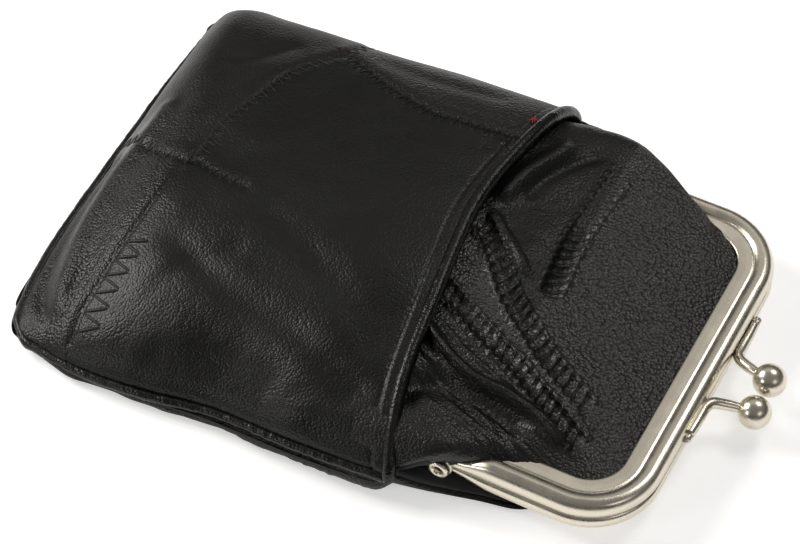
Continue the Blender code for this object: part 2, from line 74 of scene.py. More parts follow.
def evenly(points, count):
    # the same line with its points evenly spaced
    run = runAlong(points)
    even = np.linspace(0.0, run[-1], count)
    return np.stack([np.interp(even, run, points[:, k]) for k in range(points.shape[1])], 1)


def pointAt(t, run, line):
    return np.array((np.interp(t, run, line[:, 0]), np.interp(t, run, line[:, 1])))


def spline(points, count):
    # smooth curve through the points, evenly spaced along its length
    p = np.asarray(points, float)
    p = np.vstack((2 * p[0] - p[1], p, 2 * p[-1] - p[-2]))
    steps = np.linspace(0.0, len(p) - 3.0, (len(p) - 3) * 24 + 1)
    i = np.minimum(steps.astype(int), len(p) - 4)
    t = (steps - i)[:, None]
    a, b, c, d = p[i], p[i + 1], p[i + 2], p[i + 3]
    curve = 0.5 * (2 * b + (c - a) * t + (2 * a - 5 * b + 4 * c - d) * t**2 + (3 * b - a - 3 * c + d) * t**3)
    return evenly(curve, count)


def knotPlace(knots, t):
    # index of the knot to the left of t, and the share of the way from it to the next knot
    knots = np.asarray(knots, float)
    i = np.clip(np.searchsorted(knots, t, side="right") - 1, 0, len(knots) - 2)
    f = (t - knots[i]) / (knots[i + 1] - knots[i])
    return i, f


def netSurface(rows, knots, columns, s, r):
    # a smooth surface over a net of control points: rows[knot][column] = (x, y, z)
    net = np.asarray(rows, float)
    net = np.concatenate((2 * net[:1] - net[1:2], net, 2 * net[-1:] - net[-2:-1]), 0)
    net = np.concatenate((2 * net[:, :1] - net[:, 1:2], net, 2 * net[:, -1:] - net[:, -2:-1]), 1)
    i, f = knotPlace(knots, s)
    j, g = knotPlace(columns, r)

    def weights(t):
        # the four Catmull-Rom weights
        t = t[:, None]
        return (
            0.5 * (-t + 2 * t**2 - t**3),
            0.5 * (2 - 5 * t**2 + 3 * t**3),
            0.5 * (t + 4 * t**2 - 3 * t**3),
            0.5 * (-(t**2) + t**3),
        )

    wi, wj = weights(f), weights(g)
    out = np.zeros((len(s), 3))
    for a in range(4):
        for b in range(4):
            out += wi[a] * wj[b] * net[i + a, j + b]
    return out


def hashed(ix, iy, seed):
    h = np.sin(ix * 127.1 + iy * 311.7 + seed * 74.7) * 43758.5453
    return h - np.floor(h)


def softNoise(x, y, seed):
    # smooth value noise from -1 to 1
    ix, iy = np.floor(x), np.floor(y)
    fx, fy = x - ix, y - iy
    fx, fy = fx**3 * (fx * (6 * fx - 15) + 10), fy**3 * (fy * (6 * fy - 15) + 10)
    low = hashed(ix, iy, seed) * (1 - fx) + hashed(ix + 1, iy, seed) * fx
    high = hashed(ix, iy + 1, seed) * (1 - fx) + hashed(ix + 1, iy + 1, seed) * fx
    return 2 * (low * (1 - fy) + high * fy) - 1


def layers(x, y, seed, octaves=3):
    total = 0
    for k in range(octaves):
        total = total + softNoise(x * 2**k + 17 * k, y * 2**k - 9 * k, seed + k) / 2**k
    return total


def pathField(path, x, y):
    # signed distance to a line in plan, and the length along it to the nearest point
    best, run, start = np.full(x.shape, 1e6), np.zeros(x.shape), 0.0
    for (x0, y0), (x1, y1) in zip(path[:-1], path[1:]):
        dx, dy = x1 - x0, y1 - y0
        size = math.hypot(dx, dy)
        t = np.clip(((x - x0) * dx + (y - y0) * dy) / size**2, 0, 1)
        away = np.hypot(x0 + t * dx - x, y0 + t * dy - y)
        side = np.where(dx * (y - y0) - dy * (x - x0) >= 0, 1.0, -1.0)
        closer = away < np.abs(best)
        best = np.where(closer, away * side, best)
        run = np.where(closer, start + t * size, run)
        start += size
    return best, run


def pathLength(path):
    return sum(math.dist(a, b) for a, b in zip(path[:-1], path[1:]))


def meshCo(mesh):
    co = np.empty(len(mesh.vertices) * 3)
    mesh.vertices.foreach_get("co", co)
    return co.reshape(-1, 3)


def meshNormals(mesh):
    n = np.empty(len(mesh.vertices) * 3)
    mesh.vertices.foreach_get("normal", n)
    return n.reshape(-1, 3)


def setCo(mesh, co):
    mesh.vertices.foreach_set("co", np.asarray(co, float).ravel())
    mesh.update()


def meshFrom(bm, name):
    mesh = bpy.data.meshes.new(name)
    bm.to_mesh(mesh)
    bm.free()
    return mesh


def addObject(name, mesh, material, smooth=True):
    obj = bpy.data.objects.new(name, mesh)
    bpy.context.scene.collection.objects.link(obj)
    mesh.materials.append(material)
    mesh.shade_smooth() if smooth else mesh.shade_flat()
    return obj


def gridPiece(name, across, along, place, relief=(), flip=False, wrap=False, caps=False):
    # a grid laid out by place(u, v) in millimetres, then moved along its normals by each step of relief
    bm = bmesh.new()
    bm.loops.layers.uv.new("uv")
    bmesh.ops.create_grid(bm, x_segments=across, y_segments=along, size=1.0, calc_uvs=True)
    mesh = bpy.data.meshes.new(name)
    bm.to_mesh(mesh)
    uv = (meshCo(mesh)[:, :2] + 1) / 2
    setCo(mesh, place(uv[:, 0], uv[:, 1]))
    bm.clear()
    bm.from_mesh(mesh)
    if wrap:
        bmesh.ops.remove_doubles(bm, verts=bm.verts, dist=1e-4)
        if caps:
            bmesh.ops.holes_fill(bm, edges=bm.edges, sides=0)
        bmesh.ops.recalc_face_normals(bm, faces=bm.faces)
    if flip:
        bmesh.ops.reverse_faces(bm, faces=bm.faces)
    bm.to_mesh(mesh)
    bm.free()
    for step in relief:
        co = meshCo(mesh)
        setCo(mesh, co + meshNormals(mesh) * step(co)[:, None])
    setCo(mesh, toWorld(meshCo(mesh)))
    return mesh


def tubeMesh(name, path, radius, around=10):
    # a round tube along points in millimetres; radius is a number or one value per point
    p = np.asarray(path, float)
    size = np.broadcast_to(np.asarray(radius, float), (len(p),))
    tangent = np.gradient(p, axis=0)
    tangent /= np.linalg.norm(tangent, axis=1)[:, None]
    side = np.cross(tangent, (0.0, 0.0, 1.0))
    weak = np.linalg.norm(side, axis=1) < 0.15  # where the tube stands nearly upright
    side[weak] = np.cross(tangent[weak], (0.0, 1.0, 0.0))
    side /= np.linalg.norm(side, axis=1)[:, None]
    up = np.cross(side, tangent)

    def place(u, v):
        k = np.rint(v * (len(p) - 1)).astype(int)
        a = u * 2 * math.pi
        return p[k] + side[k] * (size[k] * np.cos(a))[:, None] + up[k] * (size[k] * np.sin(a))[:, None]

    return gridPiece(name, around, len(p) - 1, place, wrap=True, caps=True)


def joinMeshes(name, meshes):
    bm = bmesh.new()
    for mesh in meshes:
        bm.from_mesh(mesh)
        bpy.data.meshes.remove(mesh)
    return meshFrom(bm, name)


def treeOf(mesh):
    # for looking up the surface from outside it
    bm = bmesh.new()
    bm.from_mesh(mesh)
    tree = BVHTree.FromBMesh(bm)
    bm.free()
    return tree


def onTop(tree, x, y, lift):
    # the highest point of a surface over (x, y), in millimetres
    hit = tree.ray_cast(at(x, y, 60), Vector((0, 0, -1)))
    if hit[0] is None:
        return None
    up = hit[1] if hit[1].z > 0 else -hit[1]
    p = hit[0] + up * lift * mm
    return np.array((p.x / mm, (p.y - hinge.y) / mm, p.z / mm))


print("helpers ready")


def newMaterial(name):
    material = bpy.data.materials.new(name)
    material.use_nodes = True
    tree = material.node_tree
    return material, tree, tree.nodes["Principled BSDF"]


def link(tree, fromSocket, toSocket):
    tree.links.new(fromSocket, toSocket)


def node(tree, kind, **values):
    made = tree.nodes.new(kind)
    for key, value in values.items():
        if key in made.inputs:
            made.inputs[key].default_value = value
        else:
            setattr(made, key, value)
    return made


grainShape = {  # bend and height are in metres, the others are weights
    "bend": 0.00028,
    "dome": -1.5,
    "wrinkle": -0.16,
    "fine": 0.22,
    "height": 0.0004,
}


def grainGroup():
    # pebbled leather: cells for the grain, finer pores, wrinkles, and slow changes in tone
    group = bpy.data.node_groups.new("leatherGrain", "ShaderNodeTree")
    group.interface.new_socket("Vector", in_out="INPUT", socket_type="NodeSocketVector")
    size = group.interface.new_socket("Cell", in_out="INPUT", socket_type="NodeSocketFloat")
    size.default_value = 1500.0
    group.interface.new_socket("Height", in_out="OUTPUT", socket_type="NodeSocketFloat")
    group.interface.new_socket("Tone", in_out="OUTPUT", socket_type="NodeSocketFloat")
    inside, outside = group.nodes.new("NodeGroupInput"), group.nodes.new("NodeGroupOutput")
    warp = node(group, "ShaderNodeTexNoise", Scale=420.0, Detail=2.0)
    link(group, inside.outputs["Vector"], warp.inputs["Vector"])
    bend = node(group, "ShaderNodeVectorMath", operation="MULTIPLY_ADD")
    bend.inputs[1].default_value = [grainShape["bend"]] * 3
    link(group, warp.outputs["Color"], bend.inputs[0])
    link(group, inside.outputs["Vector"], bend.inputs[2])
    cells = node(group, "ShaderNodeTexVoronoi", feature="F1", Randomness=1.0)
    link(group, bend.outputs["Vector"], cells.inputs["Vector"])
    link(group, inside.outputs["Cell"], cells.inputs["Scale"])
    squared = node(group, "ShaderNodeMath", operation="POWER")
    squared.inputs[1].default_value = 2.0
    link(group, cells.outputs["Distance"], squared.inputs[0])
    dome = node(group, "ShaderNodeMath", operation="MULTIPLY")
    dome.inputs[1].default_value = grainShape["dome"]
    link(group, squared.outputs["Value"], dome.inputs[0])
    fine = node(group, "ShaderNodeTexNoise", Scale=5200.0, Detail=2.0)
    link(group, inside.outputs["Vector"], fine.inputs["Vector"])
    creases = node(group, "ShaderNodeTexNoise", Scale=520.0, Detail=4.0, Roughness=0.55)
    creases.noise_type = "RIDGED_MULTIFRACTAL"
    link(group, inside.outputs["Vector"], creases.inputs["Vector"])
    wrinkle = node(group, "ShaderNodeMath", operation="MULTIPLY_ADD")
    wrinkle.inputs[1].default_value = grainShape["wrinkle"]
    link(group, creases.outputs["Fac"], wrinkle.inputs[0])
    link(group, dome.outputs["Value"], wrinkle.inputs[2])
    slow = node(group, "ShaderNodeTexNoise", Scale=75.0, Detail=3.0)
    link(group, inside.outputs["Vector"], slow.inputs["Vector"])
    both = node(group, "ShaderNodeMath", operation="MULTIPLY_ADD")
    both.inputs[1].default_value = grainShape["fine"]
    link(group, fine.outputs["Fac"], both.inputs[0])
    link(group, wrinkle.outputs["Value"], both.inputs[2])
    link(group, both.outputs["Value"], outside.inputs["Height"])
    link(group, slow.outputs["Fac"], outside.inputs["Tone"])
    return group


leatherGrain = grainGroup()


def leatherMaterial(name, color, roughness, cell, grain, shine=0.34):
    material, tree, shader = newMaterial(name)
    coordinates = node(tree, "ShaderNodeTexCoord")
    group = tree.nodes.new("ShaderNodeGroup")
    group.node_tree = leatherGrain
    group.inputs["Cell"].default_value = cell
    link(tree, coordinates.outputs["Object"], group.inputs["Vector"])
    bump = node(tree, "ShaderNodeBump", Strength=grain, Distance=grainShape["height"])
    link(tree, group.outputs["Height"], bump.inputs["Height"])
    link(tree, bump.outputs["Normal"], shader.inputs["Normal"])
    ramp = node(tree, "ShaderNodeMapRange")
    ramp.inputs["From Min"].default_value = 0.3
    ramp.inputs["From Max"].default_value = 0.7
    ramp.inputs["To Min"].default_value = roughness - 0.06
    ramp.inputs["To Max"].default_value = roughness + 0.08
    link(tree, group.outputs["Tone"], ramp.inputs["Value"])
    link(tree, ramp.outputs["Result"], shader.inputs["Roughness"])
    shader.inputs["Base Color"].default_value = (*color, 1)
    shader.inputs["Specular IOR Level"].default_value = shine
    return material


leatherLooks = {
    "main": dict(color=(0.0030, 0.0026, 0.0024), roughness=0.36, cell=1900.0, grain=0.17),
    "closedEnd": dict(color=(0.0036, 0.0029, 0.0025), roughness=0.35, cell=1800.0, grain=0.24),
    "farEnd": dict(color=(0.0052, 0.0038, 0.0030), roughness=0.40, cell=1800.0, grain=0.20),
    "farSide": dict(color=(0.0056, 0.0039, 0.0030), roughness=0.42, cell=1500.0, grain=0.34),
    "pouch": dict(color=(0.0125, 0.0100, 0.0090), roughness=0.38, cell=1350.0, grain=0.48, shine=0.66),
    "pouchSmooth": dict(color=(0.0038, 0.0032, 0.0029), roughness=0.38, cell=1700.0, grain=0.25),
    "pouchNear": dict(color=(0.0050, 0.0043, 0.0040), roughness=0.33, cell=1700.0, grain=0.26, shine=0.42),
    "edge": dict(color=(0.0042, 0.0037, 0.0035), roughness=0.27, cell=1900.0, grain=0.16),
}
leather = {key: leatherMaterial("leather_" + key, **look) for key, look in leatherLooks.items()}


def metalMaterial(name, color, roughness, marks):
    material, tree, shader = newMaterial(name)
    coordinates = node(tree, "ShaderNodeTexCoord")
    noise = node(tree, "ShaderNodeTexNoise", Scale=260.0, Detail=5.0, Roughness=0.6)
    link(tree, coordinates.outputs["Object"], noise.inputs["Vector"])
    ramp = node(tree, "ShaderNodeMapRange")
    ramp.inputs["From Min"].default_value = 0.35
    ramp.inputs["From Max"].default_value = 0.75
    ramp.inputs["To Min"].default_value = roughness
    ramp.inputs["To Max"].default_value = roughness + marks
    link(tree, noise.outputs["Fac"], ramp.inputs["Value"])
    link(tree, ramp.outputs["Result"], shader.inputs["Roughness"])
    shader.inputs["Metallic"].default_value = 1.0
    shader.inputs["Base Color"].default_value = (*color, 1)
    return material


nickel = metalMaterial("nickel", (0.70, 0.645, 0.54), 0.235, 0.12)
nickelDull = metalMaterial("nickel_solder", (0.62, 0.57, 0.49), 0.3, 0.2)


def plainMaterial(name, color, roughness, scale=900.0, strength=0.3):
    material, tree, shader = newMaterial(name)
    coordinates = node(tree, "ShaderNodeTexCoord")
    noise = node(tree, "ShaderNodeTexNoise", Scale=scale, Detail=2.0)
    bump = node(tree, "ShaderNodeBump", Strength=strength, Distance=0.0001)
    link(tree, coordinates.outputs["Object"], noise.inputs["Vector"])
    link(tree, noise.outputs["Fac"], bump.inputs["Height"])
    link(tree, bump.outputs["Normal"], shader.inputs["Normal"])
    shader.inputs["Base Color"].default_value = (*color, 1)
    shader.inputs["Roughness"].default_value = roughness
    return material


threadBlack = plainMaterial("thread_black", (0.004, 0.004, 0.004), 0.5)
threadRed = plainMaterial("thread_red", (0.22, 0.012, 0.018), 0.7)
liningCloth = plainMaterial("lining_cloth", (0.012, 0.012, 0.013), 0.8, scale=2400.0, strength=0.6)
paperCord = plainMaterial("paper_cord", (0.45, 0.36, 0.24), 0.9)

for cadNode in frame["nodes"].values():  # only the two channel cords are seen as they are
    cadNode.data.materials.clear()
    cadNode.data.materials.append(paperCord if "cord" in cadNode.name else nickel)

print("materials ready")

pocket = {  # the stuffed front over the closed end
    "near": (  # (y, x) of the near side, then of the far side
        (-104, 50.4), (-96, 51.8), (-81, 54.0), (-64.6, 53.4),
        (-49, 51.2), (-31, 51.5), (-19, 51.2), (-8, 50.6),
    ),
    "far": (
        (-105, -50.0), (-98, -51.5), (-80, -51.6), (-60, -52.3),
        (-40, -53.0), (-20, -53.8), (-8, -53.2),
    ),
    "end": (  # (x, y) of the closed end, then of the line where the pocket stops
        (-52, -97.6), (-47, -101.4), (-43.5, -102.6), (-25, -103.2), (-6.6, -103.0),
        (15, -102.5), (31.5, -101.6), (45, -99.2), (52, -96.4),
    ),
    "mouth": (
        (-52, -15.5), (-50, -16.5), (-31.6, -19), (-10.6, -20.6),
        (14.9, -17.2), (33.5, -14.5), (45, -11.5), (52.6, -8.5),
    ),
    "crown": (  # (y, height) of the middle, then of both edges
        (-105, 14.6), (-98, 16.6), (-90, 17.8), (-84, 18.3), (-70, 19.4),
        (-55, 20.4), (-35, 21.4), (-17, 21.0), (0, 20.5),
    ),
    "edgeNear": ((-104, 3.2), (-82, 3.6), (-60, 4.4), (-30, 6.0), (-8, 7.2)),
    "edgeFar": ((-103, 3.4), (-60, 4.4), (-30, 5.6), (-8, 7.0)),
    "powers": (2.5, 0.60, 4.0, 0.50),  # roundness of the near side and the far side
    "nearRise": (34.0, 1.6, 0.62),  # distance from the closed end to the full height, then the rise's shape
    "farRise": (9.0, 2.3, 0.52),
    "width": 103,
    "crowding": 1.25,  # rows lie closer together at the closed end
    "cells": (318, 298),
}


def table(points, value):
    curve = spline(points, len(points) * 16)
    return np.interp(value, curve[:, 0], curve[:, 1])


def pocketWidths(y):
    return table(pocket["near"], y), table(pocket["far"], y)


def edgeHeight(y, mix):
    # mix is 1 on the near side and 0 on the far side
    return table(pocket["edgeNear"], y) * mix + table(pocket["edgeFar"], y) * (1 - mix)


def pocketPlace(u, v, inner=0.0):
    side = np.sin(math.pi / 2 * (2 * u - 1))
    x0 = 0.5 * pocket["width"] * side
    endY, mouthY = table(pocket["end"], x0), table(pocket["mouth"], x0)
    y = endY + (mouthY - endY) * v ** pocket["crowding"]
    near, far = pocketWidths(y)
    x = (near + far) / 2 + (near - far) / 2 * side
    return shellPoints(x, y, side, y - endY, inner)


def shellPoints(x, y, side, fromEnd, inner):
    nearPower, nearRoot, farPower, farRoot = pocket["powers"]
    share = np.where(
        side > 0,
        (1 - np.abs(side) ** nearPower) ** nearRoot,
        (1 - np.abs(side) ** farPower) ** farRoot,
    )
    mix = ease(-1, 1, side)
    reach, power, root = (a * mix + b * (1 - mix) for a, b in zip(pocket["nearRise"], pocket["farRise"]))
    rise = (1 - (1 - np.clip(fromEnd / reach, 0, 1)) ** power) ** root
    edge = edgeHeight(y, mix)
    z = edge + (table(pocket["crown"], y) - edge) * share * rise - inner
    return np.stack((x, y, z), 1)


def beyond(path, x, y, probe):
    # true on the side of a line where the probe lies
    smooth = spline(path, 26)
    sign = pathField(smooth, np.array([probe[0]]), np.array([probe[1]]))[0][0]
    return pathField(smooth, x, y)[0] * sign > 0


def paintPatches(mesh, looks, test):
    # gives each face the leather of the patch it lies in; the first look is the rest of the piece
    for look in looks[1:]:
        mesh.materials.append(leather[look])
    spot = np.array([tuple(face.center) for face in mesh.polygons]) / mm
    spot[:, 1] -= hinge.y / mm
    for face, number in zip(mesh.polygons, test(spot[:, 0], spot[:, 1])):
        face.material_index = int(number)


seamMain = ((51.0, -83.6), (44.0, -84.2), (32.0, -84.0), (18.0, -83.0), (4.0, -82.0))
seamEnd = (
    (-1.5, -102.0), (0.5, -96.0), (3.0, -91.0), (4.0, -83.0),
    (3.2, -79.0), (5.0, -73.0), (5.8, -66.0),
)
seamFar = (
    (3.0, -80.0), (-10.0, -80.0), (-19.0, -77.0), (-27.0, -75.0),
    (-33.0, -72.0), (-40.5, -67.0), (-51.0, -64.5),
)
seamSide = (
    (-41.0, -66.5), (-36.0, -55.0), (-33.4, -48.0), (-31.3, -39.0),
    (-32.0, -32.0), (-32.7, -26.0), (-34.0, -19.0),
)


def groove(path, x, y, width, depth, shift=0.0):
    away = pathField(path, x, y)[0]
    return -depth * np.exp(-(((away - shift) / width) ** 2))


pocketFolds = (  # soft creases over the stuffed front: line, width, depth
    (((48.0, -88.0), (38.0, -92.5), (24.0, -95.5), (8.0, -96.5), (-10.0, -95.0)), 2.4, -1.0),
    (((49.5, -90.5), (40.0, -97.0), (24.0, -99.6), (4.0, -100.6)), 1.6, 0.8),
    (((40.0, -72.0), (30.0, -69.0), (22.0, -60.0)), 2.6, 0.22),
    (((22.0, -78.0), (30.0, -58.0), (34.0, -38.0), (40.0, -22.0)), 3.2, 0.45),
    (((8.0, -64.0), (16.0, -44.0), (28.0, -24.0)), 3.6, 0.4),
    (((50.0, -70.0), (46.0, -52.0), (46.0, -40.0)), 3.4, 0.7),
    (((50.5, -36.0), (46.5, -28.0), (45.0, -20.0)), 2.6, -0.5),
    (((-26.0, -92.0), (-30.0, -84.0), (-38.0, -78.0)), 2.2, 0.4),
    (((-44.0, -60.0), (-42.0, -45.0), (-44.0, -30.0)), 2.4, 0.5),
    (((-6.0, -96.0), (-14.0, -92.0), (-24.0, -88.0)), 2.0, 0.35),
)


pocketSeams = ((seamMain, 0.7, 0.26), (seamEnd, 0.9, 0.2), (seamFar, 0.9, 0.26), (seamSide, 0.9, 0.28))
turnedHem = {"edge": (2.0, 2.6), "height": 0.22, "needle": 2.7, "needleWidth": 0.35, "stitch": 2.3}


def pocketRelief(co):
    x, y = co[:, 0], co[:, 1]
    d = 0.50 * layers(x / 26, y / 30, 3, 2) + 0.055 * layers(x / 7, y / 8, 11, 3)
    for path, width, depth in pocketSeams:
        d += groove(path, x, y, width, depth)
        d -= groove(path, x, y, 1.6, depth * 0.5, 2.4)  # the raised lap beside the join
    away, run = pathField(seamSide, x, y)  # the leather puckers between the side seam's stitches
    pucker = softNoise(run / 2.3 + away * 0.16, away / 7.0, 31) * np.exp(-(((away + 4.5) / 3.6) ** 2))
    d += 0.20 * pucker * ease(0, 6, run)
    away, run = pathField(seamMain, x, y)  # fine wrinkles beside the large zigzag
    beside = np.exp(-(((away - 4.0) / 3.4) ** 2))
    d += 0.10 * softNoise(away / 0.9, run / 6.0, 33) * beside * (1 - ease(22, 34, run))
    mouth = [(q, float(table(pocket["mouth"], q))) for q in np.linspace(-52, 52, 30)]
    away, run = pathField(mouth, x, y)
    away = np.abs(away)
    hem = 1 - ease(*turnedHem["edge"], away)
    needle = np.exp(-(((away - turnedHem["needle"]) / turnedHem["needleWidth"]) ** 2))
    hole = 0.5 + 0.5 * np.cos(run * 2 * math.pi / turnedHem["stitch"])
    d += turnedHem["height"] * hem - turnedHem["height"] * needle * (0.45 + 0.55 * hole)
    for path, width, depth in pocketFolds:
        away, run = pathField(spline(path, 20), x, y)
        d -= depth * np.exp(-((away / width) ** 2)) * ease(0, 8, run + 1.0)
    return d


def pocketPatch(x, y):
    # 0 main patch, 1 near corner, 2 far corner, 3 far side
    nearEnd = beyond(seamMain, x, y, (30, -95)) & beyond(seamEnd, x, y, (30, -90))
    farEnd = beyond(seamFar, x, y, (-20, -95)) & beyond(seamEnd, x, y, (-30, -90))
    farSide = beyond(seamSide, x, y, (-48, -40)) & ~farEnd
    return np.where(nearEnd, 1, np.where(farEnd, 2, np.where(farSide, 3, 0)))


pocketMesh = gridPiece("pocketLeather", *pocket["cells"], pocketPlace, relief=(pocketRelief,))
pocketTree = treeOf(pocketMesh)
pocketObject = addObject("pocketLeather", pocketMesh, leather["main"])
paintPatches(pocketMesh, ("main", "closedEnd", "farEnd", "farSide"), pocketPatch)
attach(pocketObject, "bag")
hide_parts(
    "pocket_patch_main",
    "pocket_patch_near_corner",
    "pocket_patch_far_corner",
    "pocket_patch_far_side",
)
print("pocket leather", len(pocketMesh.polygons))

welt = {"radius": 1.5, "points": 420, "around": 20, "wrinkle": 0.05, "pitch": 2.2}  # along the pocket's mouth


def weltPath():
    # along the pocket's last row, a little past it and lower
    u = np.linspace(0.004, 0.996, welt["points"])
    return pocketPlace(u, np.ones_like(u)) + np.array((0.0, 0.7, -0.3))


def leatherTube(name, path, shape, seed):
    # a covered cord with small wrinkles, from its own settings
    pitch = shape["pitch"]
    mesh = tubeMesh(name, path, shape["radius"], around=shape["around"])
    co = (meshCo(mesh) - np.array((0, hinge.y, 0))) / mm
    bumps = shape["wrinkle"] * layers(co[:, 0] / pitch, co[:, 1] / pitch + co[:, 2] / pitch, seed, 3)
    setCo(mesh, meshCo(mesh) + meshNormals(mesh) * (bumps * mm)[:, None])
    return addObject(name, mesh, leather["edge"])


weltObject = leatherTube("pocketWelt", weltPath(), welt, 5)
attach(weltObject, "bag")
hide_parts("pocket_welt")

piping = {"radius": 1.1, "points": 700, "around": 16, "wrinkle": 0.07, "pitch": 1.4}  # round the bag's edge


def edgeLine(points):
    # the bag's edge from the near side, round the closed end, to the far side
    nearY = np.linspace(-9, -94, 30)
    near = np.stack((table(pocket["near"], nearY) + 0.3, nearY, table(pocket["edgeNear"], nearY) - 0.6), 1)
    endX = np.linspace(48.5, -45.5, 34)
    endZ = edgeHeight(-101.0, ease(-52, 52, endX))
    end = np.stack((endX, table(pocket["end"], endX) - 0.4, endZ - 0.6), 1)
    farY = np.linspace(-95, -9, 30)
    far = np.stack((table(pocket["far"], farY) - 0.3, farY, table(pocket["edgeFar"], farY) - 0.6), 1)
    return spline(np.vstack((near, end, far)), points)


pipingObject = leatherTube("edgePiping", edgeLine(piping["points"]), piping, 8)
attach(pipingObject, "bag")
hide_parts("seam_piping")
print("welt and piping")

frameShape = {"half": 43.5, "reach": 41.8, "corner": 16.0, "armEnd": 4.0}


def framePath(inset, count, start=frameShape["armEnd"]):
    # the U of the frame at an inset from its outer edge, near arm to far arm
    half = frameShape["half"] - inset
    reach = frameShape["reach"] - inset
    corner = frameShape["corner"] - inset
    angle = np.linspace(0, math.pi / 2, 24)
    points = [(half, start)]
    points += [(half - corner + corner * math.cos(a), reach - corner + corner * math.sin(a)) for a in angle]
    points += [(-half + corner - corner * math.sin(a), reach - corner + corner * math.cos(a)) for a in angle]
    points += [(-half, start)]
    return evenly(np.array(points), count)


pouch = {  # the front leather, gathered from under the welt into the front half of the frame
    "slotInset": 6.4,
    "slotHeight": 9.2,
    "knots": (0.0, 0.07, 0.165, 0.288, 0.4, 0.5, 0.6, 0.712, 0.835, 0.93, 1.0),
    "columns": (0.0, 0.12, 0.36, 0.66, 1.0),
    "net": (
        ((43.5, 0.5, 9.6), (46.8, -3.5, 10.2), (49.6, -8.0, 9.6), (50.0, -18.0, 8.6)),
        ((41.2, 8.0, 10.6), (42.8, 4.0, 13.0), (44.0, -1.5, 14.6), (46.0, -19.0, 13.5)),
        ((34.6, 19.0, 11.2), (33.8, 11.0, 13.8), (35.0, -1.0, 15.4), (37.0, -22.0, 16.2)),
        ((24.5, 29.0, 11.0), (23.0, 16.0, 14.2), (22.0, 2.0, 16.6), (24.0, -24.0, 18.3)),
        ((11.5, 28.0, 11.2), (10.5, 15.0, 14.0), (10.0, 2.0, 16.4), (11.0, -25.0, 19.0)),
        ((0.0, 28.0, 11.0), (-1.0, 15.0, 13.8), (-1.0, 2.0, 16.0), (-1.0, -26.0, 19.2)),
        ((-12.0, 28.0, 11.2), (-12.0, 15.0, 14.0), (-12.0, 2.0, 16.0), (-13.0, -26.0, 19.0)),
        ((-25.5, 29.0, 11.7), (-25.0, 16.0, 14.6), (-25.0, 2.0, 16.6), (-25.0, -25.0, 18.6)),
        ((-37.5, 22.5, 12.6), (-38.5, 14.0, 15.0), (-38.5, 0.0, 16.8), (-38.0, -24.0, 17.0)),
        ((-42.5, 12.5, 13.0), (-46.5, 6.5, 14.8), (-47.5, -2.0, 15.8), (-46.5, -22.0, 14.0)),
        ((-42.5, 1.0, 9.0), (-48.0, -3.0, 8.8), (-50.0, -9.0, 8.0), (-50.0, -19.0, 7.0)),
    ),
    "cells": (330, 236),
}


def slotPoints(inset, height, knots):
    line = framePath(inset, 401)
    i = np.rint(np.asarray(knots) * 400).astype(int)
    return np.column_stack((line[i], np.full(len(i), height)))


def withSlot(net, inset, height, knots):
    slot = slotPoints(inset, height, knots)
    return [[tuple(slot[k]), *row] for k, row in enumerate(net)]


def pouchPlace(u, v):
    rows = withSlot(pouch["net"], pouch["slotInset"], pouch["slotHeight"], pouch["knots"])
    p = netSurface(rows, pouch["knots"], pouch["columns"], u, v)
    line = framePath(pouch["slotInset"], 2001)  # the first stretch keeps to the slot's own line
    slot = line[np.rint(u * 2000).astype(int)]
    near = (1 - ease(0.0, 0.1, v))[:, None]
    start = netSurface(rows, pouch["knots"], pouch["columns"], u, np.zeros_like(v))
    p[:, :2] += (slot - start[:, :2]) * near
    return p


ladderA = (
    (-10.5, -19.0), (-9.1, -16.4), (-2.6, -10.0), (3.2, -5.0), (7.0, -0.6),
    (10.3, 4.2), (13.6, 8.4), (16.2, 13.0), (18.4, 17.5), (21.4, 24.0),
)
ladderB = (
    (8.6, -18.0), (10.3, -14.9), (12.8, -9.6), (15.4, -4.8), (17.9, 0.9),
    (19.8, 5.8), (22.1, 9.9), (25.0, 16.0), (29.5, 25.5),
)
ladderC = ((1.0, 3.4), (-5.1, 2.8), (-10.7, 2.2), (-15.7, 2.0), (-21.4, 2.2), (-30.0, 2.6), (-39.0, 3.0))
ladders = (  # line, half width, stitch spacing, height, length over which the puffs fade away
    (ladderA, 2.35, 2.5, 1.0, 60.0),
    (ladderB, 2.1, 2.35, 0.85, 60.0),
    (ladderC, 2.35, 2.35, 0.95, 19.0),
)


ladderSlant = 0.42  # how far the stitches lean along the line for each millimetre away from it
ladderBand = 1.08  # the raised band's half width, as a share of the stitches' half width


def ladderWander(run, number):
    # how far the stitches stray along the line
    return 0.35 * softNoise(run / 4.0, run * 0 + number, 51)


def ladderRelief(co):
    # a raised band with an oval puff between each pair of stitches, and a pit at each needle hole
    x, y = co[:, 0], co[:, 1]
    d = np.zeros(len(x))
    for number, (path, half, pitch, height, fade) in enumerate(ladders):
        smooth = spline(path, 26)
        away, run = pathField(smooth, x, y)
        total = pathLength(smooth)
        ends = ease(0, 2.5, run) * ease(0, 3, total - run)
        phase = (run + ladderSlant * away + ladderWander(run, number)) / pitch
        size = 1 + 0.35 * softNoise(np.floor(phase), np.sign(away) * 0.5, 61)
        strong = (1 - ease(fade * 0.7, fade * 1.3, run)) * ends
        inBand = np.clip(1 - (away / (half * ladderBand)) ** 2, 0, 1)
        puff = np.sin(math.pi * phase) ** 2
        oval = np.clip(inBand**0.8 - 0.62 * (1 - puff) ** 1.3, 0, 1) ** 0.6
        d += height * strong * (0.14 * inBand + 1.05 * oval * size)
        d -= 0.28 * ends * np.exp(-(((np.abs(away) - half * 1.12) / 0.55) ** 2)) * (0.3 + 0.7 * strong)
        gap = np.abs(phase - np.rint(phase)) * pitch
        pit = np.exp(-((gap / 0.55) ** 2) - (((np.abs(away) - half * 1.05) / 0.5) ** 2))
        d -= 0.55 * ends * pit
    return d


